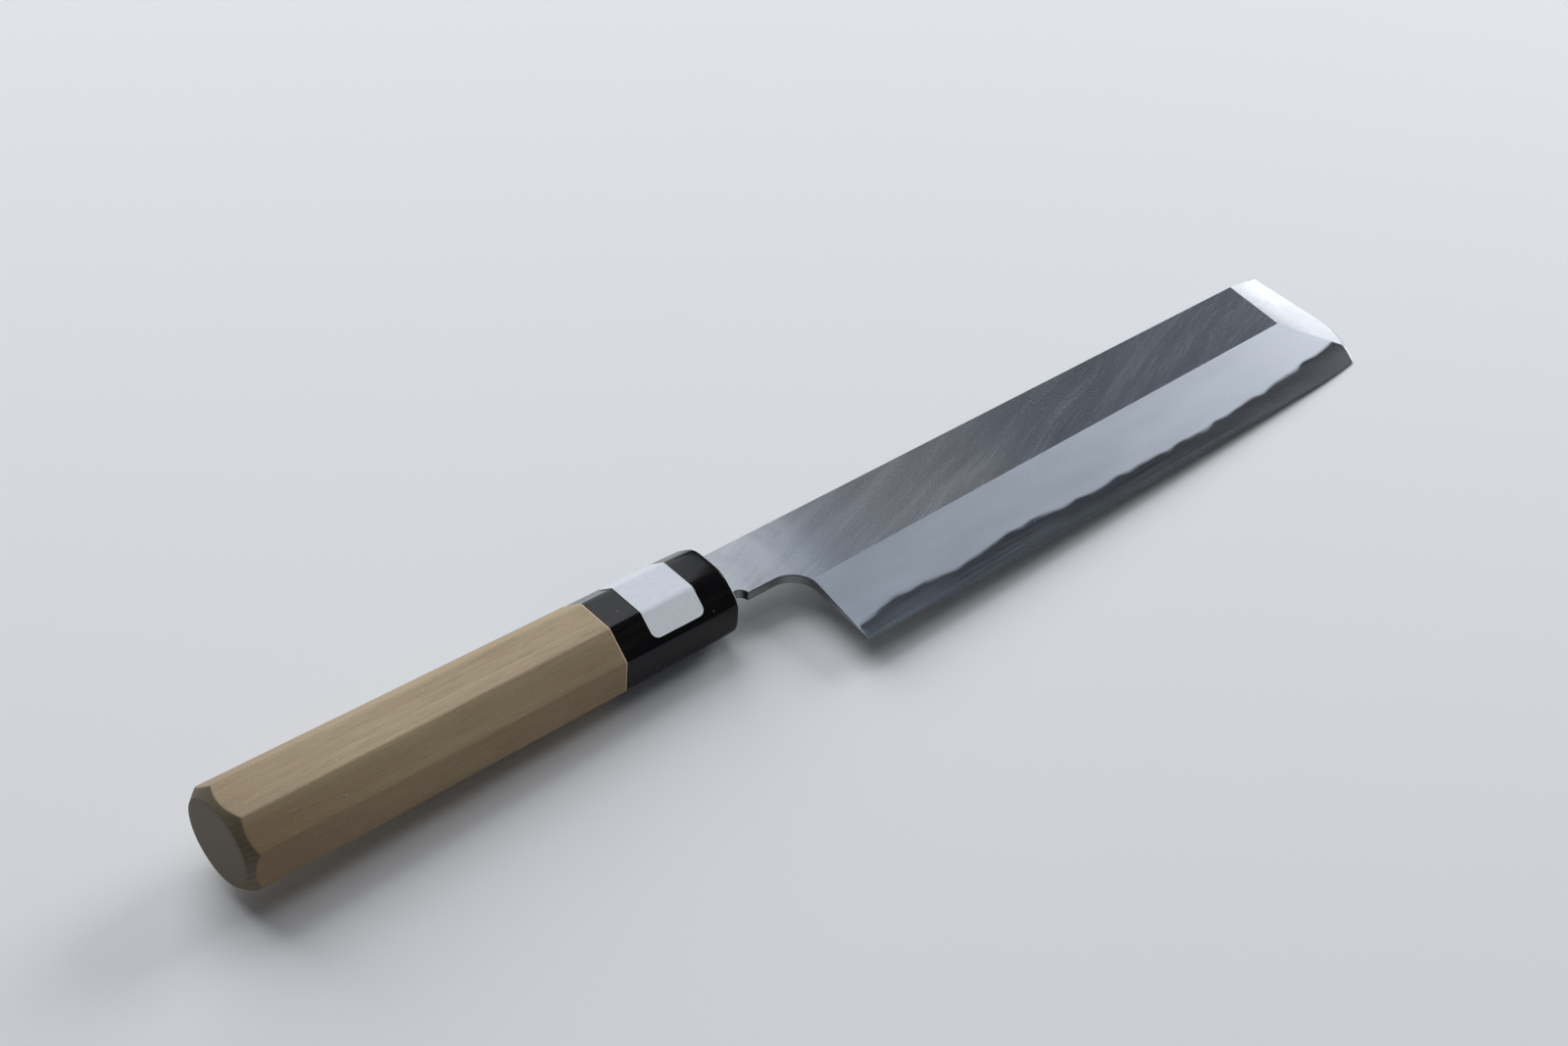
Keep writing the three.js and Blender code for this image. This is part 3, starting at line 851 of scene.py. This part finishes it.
def octagon_tree():
    """Geometry nodes that turn a line of points into an eight-sided body, section by section.

    Each point of the line is one section. Its attributes are the section's place on the axis, how far its
    facets are set in, and the half axes of an oval that it is turned down to.
    """
    tree = bpy.data.node_groups.new("octagon_lathe", "GeometryNodeTree")
    put = tree.interface.new_socket
    put("Geometry", in_out="INPUT", socket_type="NodeSocketGeometry")
    put("Points Around", in_out="INPUT", socket_type="NodeSocketInt")
    sizes = ["Width", "Depth", "Top Facet", "Side Facet", "Arris"]
    for name in ["Rear", "Front"] + [f"{end} {size}" for size in sizes for end in ("Rear", "Front")]:
        put(name, in_out="INPUT", socket_type="NodeSocketFloat")
    put("Material", in_out="INPUT", socket_type="NodeSocketMaterial")
    put("Geometry", in_out="OUTPUT", socket_type="NodeSocketGeometry")
    given = tree.nodes.new("NodeGroupInput")
    ask = {socket.name: Wire(tree, socket) for socket in given.outputs if socket.name}
    start = ask["Geometry"]

    def attribute(name):
        return start.node("GeometryNodeInputNamedAttribute", {"data_type": "FLOAT"}, {"Name": name})

    curve = start.node("GeometryNodeMeshToCurve", {}, {"Mesh": start})
    ring = {"Resolution": ask["Points Around"], "Radius": 1.0}
    circle = start.node("GeometryNodeCurvePrimitiveCircle", {}, ring)
    tube = start.node("GeometryNodeCurveToMesh", {}, {"Curve": curve, "Profile Curve": circle})
    place = attribute("place")
    inset = attribute("inset")
    share = (place - ask["Rear"]) / (ask["Front"] - ask["Rear"])

    def size(name):
        return ask["Rear " + name] + (ask["Front " + name] - ask["Rear " + name]) * share

    ray = start.node("GeometryNodeInputPosition", {}, {})
    ray_y = ray.part(1)
    ray_z = ray.part(2)
    out_y = ray_y.math("ABSOLUTE", ray_y)
    out_z = ray_z.math("ABSOLUTE", ray_z)
    narrowing = inset * math.tan(math.pi / 8)
    width = size("Width") / 2 - inset
    depth = size("Depth") / 2 - inset
    top = size("Top Facet") / 2 - narrowing
    side = size("Side Facet") / 2 - narrowing
    slant_depth = depth - side
    slant_width = width - top
    slant = (out_y * slant_depth + out_z * slant_width) / (width * slant_depth + side * slant_width)
    turned_y = out_y / attribute("turned_width")
    turned_z = out_z / attribute("turned_depth")
    turned = (turned_y * turned_y + turned_z * turned_z) ** 0.5
    limits = [out_y / width, out_z / depth, slant, turned]
    most = limits[0]
    for limit in limits[1:]:
        most = most.math("MAXIMUM", most, limit)
    sharpness = size("Arris")
    total = (limits[0] / most) ** sharpness
    for limit in limits[1:]:
        total = total + (limit / most) ** sharpness
    radius = 1 / (most * total ** (1 / sharpness))
    spot = start.node("ShaderNodeCombineXYZ", {}, {"X": place, "Y": ray_y * radius, "Z": ray_z * radius})
    shaped = start.node("GeometryNodeSetPosition", {}, {"Geometry": tube, "Position": spot})
    closing = {"Geometry": shaped, "Distance": closing_gap}
    closed = start.node("GeometryNodeMergeByDistance", {}, closing)
    real = start.node("GeometryNodeRealizeInstances", {}, {"Geometry": closed})
    dressed = start.node("GeometryNodeSetMaterial", {}, {"Geometry": real, "Material": ask["Material"]})
    tree.links.new(dressed.socket, tree.nodes.new("NodeGroupOutput").inputs[0])
    return tree


octagon_lathe = octagon_tree()


def face_outwards(mesh):
    shape = bmesh.new()
    shape.from_mesh(mesh)
    bmesh.ops.recalc_face_normals(shape, faces=shape.faces)
    shape.to_mesh(mesh)
    shape.free()


def octagon_body(name, sections, ends, sizes, material):
    """A closed mesh from sections (place, inset, turned width, turned depth), by the octagon lathe.

    Ends and sizes are pairs, rear and front.
    """
    line = bpy.data.meshes.new(name)
    count = len(sections)
    line.from_pydata([(float(i), 0, 0) for i in range(count)], [(i, i + 1) for i in range(count - 1)], [])
    for attribute, values in zip(("place", "inset", "turned_width", "turned_depth"), zip(*sections)):
        line.attributes.new(attribute, "FLOAT", "POINT").data.foreach_set("value", values)
    lathe = bpy.data.objects.new(name, line)
    bpy.context.scene.collection.objects.link(lathe)
    modifier = lathe.modifiers.new("octagon_lathe", "NODES")
    modifier.node_group = octagon_lathe
    values = {"Points Around": points_around, "Rear": ends[0], "Front": ends[1], "Material": material}
    for size, (at_rear, at_front) in sizes.items():
        values["Rear " + size] = at_rear
        values["Front " + size] = at_front
    for item in octagon_lathe.interface.items_tree:
        if item.in_out == "INPUT" and item.name in values:
            modifier[item.identifier] = values[item.name]
    evaluated = lathe.evaluated_get(bpy.context.evaluated_depsgraph_get())
    mesh = bpy.data.meshes.new_from_object(evaluated)
    bpy.data.objects.remove(lathe)
    face_outwards(mesh)
    return mesh


dark_wood = (0.25, 0.165, 0.079, 1)
pale_wood = (0.525, 0.41, 0.248, 1)
darker_wood = (0.22, 0.142, 0.072, 1)
pore_wood = (0.15, 0.1, 0.055, 1)
fleck_wood = (0.52, 0.47, 0.37, 1)
speck_wood = (0.66, 0.62, 0.52, 1)
joint_highlight_wood = (0.85, 0.62, 0.43, 1)
# The end grain colours are dark of themselves, and are set darker still as painted shade.
dark_end_grain = (0.1, 0.074, 0.046, 1)
pale_end_grain = (0.19, 0.145, 0.09, 1)
ring_middle = 14.0  # the rings of the tree run round a line this far above the axis
ring_turn = 4.2  # how fast their wave turns, in radians per millimetre

# Each pair is a stretch over which the wood changes.
butt_darkening = (-106.0, -58.0)
joint_highlight_start = (-0.4, -0.28)
shaded_side_start = (5.0, 9.0)  # this one is in distance from the axis, towards the edge of the knife
butt_turn = (0.25, 0.55)  # and this one in how far the surface faces rearwards


def wood_paint(place):
    """Fine straight grain, short pores, pale specks, a painted highlight along the arris at the joint, and
    dark end grain.

    The wood is darker towards the butt. Painted shade makes it darker and browner on the side towards the
    edge of the knife, and makes the end grain, which is dark of itself, darker still on every surface that
    faces rearwards.
    """
    x = place.part(0)
    # The wood is made darker towards the butt.
    darker_to_butt = 1 - x.step(*butt_darkening)
    # Painted shade: the side towards the edge of the knife is made darker and browner.
    shaded_edge_side = (0 - place.part(1)).step(*shaded_side_start)
    warp = place.spread(0, (0.012, 0.08, 0.08)).noise(1.0)
    bent = place.moved(warp * 1.2, warp * 0.8)
    grain = bent.spread(0, (0.006, 0.6, 0.6)).noise(3.0, 0.6)
    fibre = bent.spread(0, (0.04, 6.0, 6.0)).noise(3.0, 0.7)
    pores = bent.spread(0, (0.12, 8.0, 8.0)).noise(1.0).step(0.6, 0.7)
    flecks = bent.spread(0, (0.5, 7.0, 7.0)).noise(1.0).step(0.66, 0.74)
    specks = place.spread(0, (0.4, 0.45, 0.45)).specks(0.07, 0.7)
    blotch = place.spread(0, (0.03, 0.1, 0.1)).noise(2.0)
    tone = 0.6 * grain + 1.1 * fibre + 0.5 * blotch - 0.58
    wood = tone.mix(dark_wood, pale_wood)
    darkened = (0.42 * darker_to_butt + 0.4 * shaded_edge_side).mix(wood, darker_wood)
    porous = (pores * 0.4).mix(darkened, pore_wood)
    flecked = (flecks * 0.45).mix(porous, fleck_wood)
    specked = (specks * 0.8).mix(flecked, speck_wood)
    # Painted highlight: a pale line on the wood's arris at the joint with the ferrule.
    highlighted = (x.step(*joint_highlight_start) * 0.8).mix(specked, joint_highlight_wood)
    from_heart = place.moved(warp * 6.0, -ring_middle).spread(0, (0, 1, 1)).distance((0, 0, 0))
    ring = from_heart * ring_turn
    end_tone = 0.5 + 0.12 * ring.math("SINE", ring) + 0.9 * (fibre - 0.5)
    end_grain_and_shade = end_tone.mix(dark_end_grain, pale_end_grain)
    # Partly painted shade: every surface that faces rearwards, the butt and its chamfer, takes the dark end
    # grain.
    rearward = 0 - place.node("ShaderNodeNewGeometry", {}, {}, "Normal").part(0)
    butt = rearward.step(*butt_turn)
    return {
        "Base Color": butt.mix(highlighted, end_grain_and_shade),
        "Roughness": 0.5 + 0.16 * fibre,
        "Bump": 0.008 * fibre + 0.02 * grain - 0.01 * pores + 0.02 * specks,
    }


wood_finish = finish("magnolia_wood", wood_paint, {"Specular IOR Level": 0.35})

butt_end_share = 1 - 2 * butt_inset / butt_width
butt_arris_share = math.hypot(1, butt_side_facet / butt_depth)
chamfer_rise = (butt_arris_share - butt_end_share) / butt_chamfer


def butt_section(from_end):
    """A section near the butt, turned down to the chamfer's oval cone."""
    share = butt_end_share + chamfer_rise * from_end
    return (from_end - wood_length, 0.0, share * butt_width / 2, share * butt_depth / 2)


def planed_section(place, inset=0.0):
    """A section that keeps its facets."""
    return (place, inset, no_turning, no_turning)


def turned_section(place, radius):
    return (place, 0.0, radius, radius)


def disc_sections(place, widths, ratio):
    """Flat end: rings of changing size, one inside the other."""
    return [(place, 0.0, width, width * ratio) for width in widths]


pole = 1e-6  # half width of a ring that closes to a point
end_rings = np.linspace(0.15, 0.985, 7)  # shares of the end's width
chamfer_rings = 40
chamfer_first = 0.08
chamfer_last = 1.25 * butt_chamfer
facet_first = 1.35 * butt_chamfer
facet_rings = 40
end_width = butt_section(0)[2]
chamfer_places = np.linspace(chamfer_first, chamfer_last, chamfer_rings)
facet_places = np.linspace(facet_first - wood_length, -joint_chamfer, facet_rings)
wood_sections = disc_sections(-wood_length, [pole, *end_rings * end_width], butt_depth / butt_width)
wood_sections += [butt_section(from_end) for from_end in chamfer_places]
wood_sections += [planed_section(place) for place in facet_places]
wood_sections += [planed_section(-face_gap, joint_inset), turned_section(-face_gap, tenon_radius)]
wood_sections += disc_sections(ferrule_length - seal_depth, [tenon_radius, tenon_radius / 2, pole], 1)
wood_ends = (-wood_length, 0.0)
wood_sizes = {
    "Width": (butt_width, joint_width),
    "Depth": (butt_depth, joint_depth),
    "Top Facet": (butt_top_facet, joint_top_facet),
    "Side Facet": (butt_side_facet, joint_side_facet),
    "Arris": (wood_arris, wood_arris),
}
handle_mesh = octagon_body("handle_look", wood_sections, wood_ends, wood_sizes, wood_finish)
set_down("handle_look", handle_mesh, "handle")

# Ferrule
# The black horn collar on the tenon: eight-sided as the wood where it meets it, more rounded towards the
# blade, and polished. It is glued on and flushed with the wood, which stands a hair proud of it.

ferrule_inset = 0.15
ferrule_rear_width = joint_width - 2 * ferrule_inset
ferrule_rear_depth = joint_depth - 2 * ferrule_inset
ferrule_front_width = 24.2
ferrule_front_depth = 20.0
ferrule_top_facet = 10.6
ferrule_side_facet = 8.6
ferrule_rear_chamfer = 0.1
horn_rear_arris = 80.0
horn_front_arris = 14.0
bore_radius = 7.7
rim_radius = 1.0
black_horn = (0.006, 0.006, 0.0065, 1)
brown_horn = (0.018, 0.013, 0.009, 1)
rim_shine = (0.86, 0.86, 0.85, 1)
horn_dust = (0.45, 0.45, 0.45, 1)
rim_highlight_near = 0.18  # the painted rim highlight lies between these distances from the front
rim_highlight_far = 0.46
rim_highlight_blur = 0.08
upper_half = (-4.0, 4.0)  # heights between which that line fades in


def horn_paint(place):
    """Polished black horn: nearly even, with faint brown streaks, hairline scratches and a little dust.

    A thin painted highlight follows the upper half of the front rim.
    """
    streaks = place.spread(0, (0.03, 0.35, 0.35)).noise(3.0, 0.6)
    hairs = place.spread(35, (0.12, 2.5, 2.5)).specks(0.2, 0.3)
    dust = place.spread(0, (0.45, 0.45, 0.45)).specks(0.07, 0.45)
    horn = streaks.step(0.45, 0.8).mix(black_horn, brown_horn)
    from_front = ferrule_length - place.part(0)
    upper = place.part(2).step(*upper_half)
    before_far = (rim_highlight_far - from_front).step(0.0, rim_highlight_blur)
    past_near = (from_front - rim_highlight_near).step(0.0, rim_highlight_blur)
    # Painted highlight: a thin light line on the upper half of the front rim.
    rim = before_far * past_near * upper
    highlighted = (rim * (0.5 + 0.7 * streaks)).mix(horn, rim_shine)
    return {
        "Base Color": (dust * 0.8).mix(highlighted, horn_dust),
        "Roughness": 0.1 + 0.06 * streaks + 0.08 * hairs + 0.15 * rim + 0.4 * dust,
        "Bump": 0.01 * streaks - 0.001 * hairs + 0.02 * dust,
    }


horn_polish = {"Specular IOR Level": 0.15, "Coat Weight": 0.03, "Coat Roughness": 0.06}
horn_finish = finish("black_horn", horn_paint, horn_polish)

ferrule_rings = 50
rim_rings = 12
rim_start = ferrule_length - rim_radius
ferrule_places = np.linspace(ferrule_rear_chamfer, rim_start, ferrule_rings)


def rim_section(turn):
    """A section of the rounded front rim."""
    return planed_section(rim_start + rim_radius * math.sin(turn), rim_radius * (1 - math.cos(turn)))


ferrule_sections = [turned_section(0.0, bore_radius), planed_section(0.0, ferrule_rear_chamfer)]
ferrule_sections += [planed_section(place) for place in ferrule_places[:-1]]
ferrule_sections += [rim_section(turn) for turn in np.linspace(0, math.pi / 2, rim_rings)]
ferrule_sections += [turned_section(ferrule_length, bore_radius), turned_section(0.0, bore_radius)]
ferrule_ends = (0.0, ferrule_length)
ferrule_sizes = {
    "Width": (ferrule_rear_width, ferrule_front_width),
    "Depth": (ferrule_rear_depth, ferrule_front_depth),
    "Top Facet": (joint_top_facet, ferrule_top_facet),
    "Side Facet": (joint_side_facet, ferrule_side_facet),
    "Arris": (horn_rear_arris, horn_front_arris),
}
ferrule_mesh = octagon_body("ferrule_look", ferrule_sections, ferrule_ends, ferrule_sizes, horn_finish)
set_down("ferrule_look", ferrule_mesh, "ferrule")

# Tang seal
# Dark wax run into the mouth of the ferrule round the tang. It keeps water out of the wood, and creeps up a
# little at the tang and at the horn as it sets.

seal_sink = 0.3
creep_at_tang = 0.35
creep_at_horn = 0.25
wax_rings = 9
wax_points = 96
dark_wax = (0.012, 0.009, 0.007, 1)
brown_wax = (0.05, 0.036, 0.025, 1)


def wax_paint(place):
    """Dull dark wax with soft lumps."""
    lumps = place.spread(0, (0.6, 0.6, 0.6)).noise(3.0, 0.6)
    return {
        "Base Color": lumps.mix(dark_wax, brown_wax),
        "Roughness": 0.4 + 0.2 * lumps,
        "Bump": 0.06 * lumps,
    }


wax_finish = finish("dark_wax", wax_paint, {})
tang_half_height = (tang_top + tang_bottom) / 2
tang_middle_y = (tang_top - tang_bottom) / 2
tang_half_side = neck_thickness / 2
tang_middle_z = (face_z(ferrule_length) - back_depth) / 2


def wax_ring(share, place):
    """A ring between the tang's section, at share 0, and the bore, at share 1."""
    points = []
    for i in range(wax_points):
        turn = 2 * math.pi * i / wax_points
        ray_y, ray_z = math.cos(turn), math.sin(turn)
        box = 1 / max(abs(ray_y) / tang_half_height, abs(ray_z) / tang_half_side)
        near = np.array([tang_middle_y + box * ray_y, tang_middle_z + box * ray_z])
        far = (bore_radius - face_gap) * np.array([ray_y, ray_z])
        points.append((place, *(near + (far - near) * share)))
    return points


def wax_mesh():
    level = ferrule_length - seal_sink
    floor = ferrule_length - seal_depth + face_gap
    shares = np.linspace(0, 1, wax_rings)
    profile = [(s, level + creep_at_tang * (1 - s) ** 3 + creep_at_horn * s ** 4) for s in shares]
    profile += [(1.0, floor), (0.0, floor)]
    rings = [wax_ring(share, place) for share, place in profile]
    faces = []
    for i in range(len(rings)):
        here = i * wax_points
        ahead = (i + 1) % len(rings) * wax_points
        for j in range(wax_points):
            beside = (j + 1) % wax_points
            faces.append([here + j, here + beside, ahead + beside, ahead + j])
    mesh = bpy.data.meshes.new("tang_seal_look")
    mesh.from_pydata([point for ring in rings for point in ring], [], faces)
    face_outwards(mesh)
    return mesh


set_down("tang_seal_look", wax_mesh(), "tang_seal", [wax_finish])

# Label
# A bare satin paper sticker with rounded corners. It lies on the upper facet of the ferrule and is folded
# down over the bevelled facets beside it.

label_shift = 0.35
label_width = 15.6
label_drop = 7.1
label_corner = 2.0
label_thickness = 0.12
label_lift = 0.05
fold_radius = 0.9
fold_crease = 50  # edges that turn by less, in degrees, are shaded smooth
corner_columns = 9
straight_columns = 14
label_cells = 81


def ferrule_size(rear, front, x):
    return rear + (front - rear) * x / ferrule_length


def label_section(x):
    """The upper facet's half width and height, and the fall of the bevelled facets, at a place."""
    width = ferrule_size(ferrule_rear_width, ferrule_front_width, x)
    depth = ferrule_size(ferrule_rear_depth, ferrule_front_depth, x)
    half = ferrule_size(joint_top_facet, ferrule_top_facet, x) / 2
    side = ferrule_size(joint_side_facet, ferrule_side_facet, x)
    return half, depth / 2, math.atan2(depth - side, width - 2 * half)


def label_point(x, run, lift):
    """The place at a run across the label from its middle line, lifted off the horn. Folds are arcs."""
    half, height, fall = label_section(x)
    radius = fold_radius + lift
    trim = fold_radius * math.tan(fall / 2)
    flat = half - trim
    side = math.copysign(1, run)
    run = abs(run)
    if run <= flat:
        return x, side * run, height + lift
    turn = min((run - flat) / fold_radius, fall)
    y = flat + radius * math.sin(turn)
    z = height - fold_radius + radius * math.cos(turn)
    rest = max(0.0, run - flat - fold_radius * fall)
    return x, side * (y + rest * math.cos(fall)), z - rest * math.sin(fall)


def label_mesh():
    start = (ferrule_length - label_width) / 2 - label_shift
    end = start + label_width
    turns = np.linspace(0, math.pi / 2, corner_columns)
    straight = np.linspace(start + label_corner, end - label_corner, straight_columns)
    columns = [(start + label_corner * (1 - math.cos(a)), label_corner * (1 - math.sin(a))) for a in turns]
    columns += [(x, 0.0) for x in straight[1:-1]]
    columns += [(end - label_corner * (1 - math.sin(a)), label_corner * (1 - math.cos(a))) for a in turns]
    points = []
    for lift in (label_lift, label_lift + label_thickness):
        for x, cut in columns:
            half, _, fall = label_section(x)
            reach = half + label_drop - cut - fold_radius * (2 * math.tan(fall / 2) - fall)
            points += [label_point(x, reach * share, lift) for share in np.linspace(-1, 1, label_cells)]

    def at(level, i, j):
        return (level * len(columns) + i) * label_cells + j

    last_i = len(columns) - 1
    last_j = label_cells - 1
    faces = []
    for i in range(last_i):
        for j in range(last_j):
            faces.append([at(1, i, j), at(1, i + 1, j), at(1, i + 1, j + 1), at(1, i, j + 1)])
            faces.append([at(0, i, j), at(0, i, j + 1), at(0, i + 1, j + 1), at(0, i + 1, j)])
    for i in range(last_i):
        faces.append([at(0, i, 0), at(0, i + 1, 0), at(1, i + 1, 0), at(1, i, 0)])
        faces.append([at(0, i + 1, last_j), at(0, i, last_j), at(1, i, last_j), at(1, i + 1, last_j)])
    for j in range(last_j):
        faces.append([at(0, 0, j + 1), at(0, 0, j), at(1, 0, j), at(1, 0, j + 1)])
        faces.append([at(0, last_i, j), at(0, last_i, j + 1), at(1, last_i, j + 1), at(1, last_i, j)])
    mesh = bpy.data.meshes.new("label_look")
    mesh.from_pydata(points, [], faces)
    return mesh


grey_paper = (0.62, 0.64, 0.66, 1)
white_paper = (0.93, 0.94, 0.95, 1)
fold_y = ferrule_top_facet / 2
fold_start = (fold_y - 0.2, fold_y + 0.3)


def paper_paint(place):
    """White satin paper, faintly mottled and fibrous; painted light makes the fold towards the edge of the
    knife whiter.
    """
    mottle = place.spread(20, (0.5, 0.9, 0.5)).noise(3.0, 0.6)
    fibres = place.spread(60, (0.8, 5.0, 5.0)).noise(2.0, 0.6)
    # Painted light: the fold towards the edge of the knife is made whiter than the top.
    folded = (0 - place.part(1)).step(*fold_start)
    whiteness = 0.5 * mottle + 0.3 * fibres + 0.8 * folded - 0.3
    return {
        "Base Color": whiteness.mix(grey_paper, white_paper),
        "Roughness": 0.34 + 0.16 * mottle,
        "Bump": 0.004 * fibres + 0.02 * mottle,
    }


paper_finish = finish("white_paper", paper_paint, {"Specular IOR Level": 0.5})
set_down("label_look", label_mesh(), "label", [paper_finish], fold_crease)

# Stage
# A plain pale floor, five soft lamps and the photograph's camera. A broad lamp hangs behind the knife, a
# strong one beyond its tip, a low one beside that for the front bevel, and weak ones overhead and on the
# near side.

floor_reach = 6.0
floor_colour = (0.8, 0.79, 0.775, 1)
floor_roughness = 0.7
floor_corners = [(-floor_reach, -floor_reach, 0), (floor_reach, -floor_reach, 0)]
floor_corners += [(floor_reach, floor_reach, 0), (-floor_reach, floor_reach, 0)]
floor_mesh = bpy.data.meshes.new("floor")
floor_mesh.from_pydata(floor_corners, [], [(0, 1, 2, 3)])
floor = bpy.data.objects.new("floor", floor_mesh)
bpy.context.scene.collection.objects.link(floor)
floor_look = bpy.data.materials.new("pale_floor")
floor_look.use_nodes = True
floor_look.node_tree.nodes["Principled BSDF"].inputs["Base Color"].default_value = floor_colour
floor_look.node_tree.nodes["Principled BSDF"].inputs["Roughness"].default_value = floor_roughness
floor_mesh.materials.append(floor_look)

lamp_distance = 2.0
cool_white = (0.95, 0.99, 1.06)


def lamp(name, azimuth, elevation, wide, high, radiance):
    """A soft box that faces the knife. The angles, in degrees, say where it hangs and how large it looks.

    Azimuth is counted from +X towards +Y.
    """
    light = bpy.data.lights.new(name, "AREA")
    light.shape = "RECTANGLE"
    light.size = 2 * lamp_distance * math.tan(math.radians(wide / 2))
    light.size_y = 2 * lamp_distance * math.tan(math.radians(high / 2))
    light.energy = radiance * math.pi * light.size * light.size_y
    light.color = cool_white
    body = bpy.data.objects.new(name, light)
    a, e = math.radians(azimuth), math.radians(elevation)
    away = Vector((math.cos(a) * math.cos(e), math.sin(a) * math.cos(e), math.sin(e)))
    body.location = away * lamp_distance
    body.rotation_mode = "QUATERNION"
    body.rotation_quaternion = away.to_track_quat("Z", "Y")
    bpy.context.scene.collection.objects.link(body)


lamp("back_box", azimuth=82.2, elevation=42.9, wide=51.8, high=59.6, radiance=2.5)
lamp("key_box", azimuth=1.3, elevation=28.5, wide=26.8, high=19.2, radiance=7.7)
lamp("tip_box", azimuth=22.0, elevation=14.2, wide=43.7, high=12.4, radiance=2.45)
lamp("top_box", azimuth=75.2, elevation=82.8, wide=39.6, high=39.6, radiance=0.75)
lamp("fill_box", azimuth=-105, elevation=34, wide=56, high=36, radiance=0.2)

room_colour = (0.85, 0.94, 1.1, 1)
room_strength = 0.058
world = bpy.data.worlds.new("studio")
world.use_nodes = True
world.node_tree.nodes["Background"].inputs["Color"].default_value = room_colour
world.node_tree.nodes["Background"].inputs["Strength"].default_value = room_strength
scene = bpy.context.scene
scene.world = world
scene.view_settings.view_transform = "Standard"

view_azimuth = math.radians(-42.209)
view_elevation = math.radians(41.666)
view_roll = math.radians(2.306)
view_target = Vector((0.00278, 0.02656, 0.0))
view_distance = 0.74186
camera_back = Vector((math.sin(view_azimuth) * math.cos(view_elevation),
                      -math.cos(view_azimuth) * math.cos(view_elevation), math.sin(view_elevation)))
lens = bpy.data.cameras.new("camera")
lens.sensor_width = 36.0
lens.lens = 67.5
camera = bpy.data.objects.new("camera", lens)
camera.rotation_mode = "QUATERNION"
camera.location = view_target + camera_back * view_distance
level = (-camera_back).to_track_quat("-Z", "Y")
camera.rotation_quaternion = level @ Matrix.Rotation(view_roll, 3, "Z").to_quaternion()
scene.collection.objects.link(camera)
scene.camera = camera
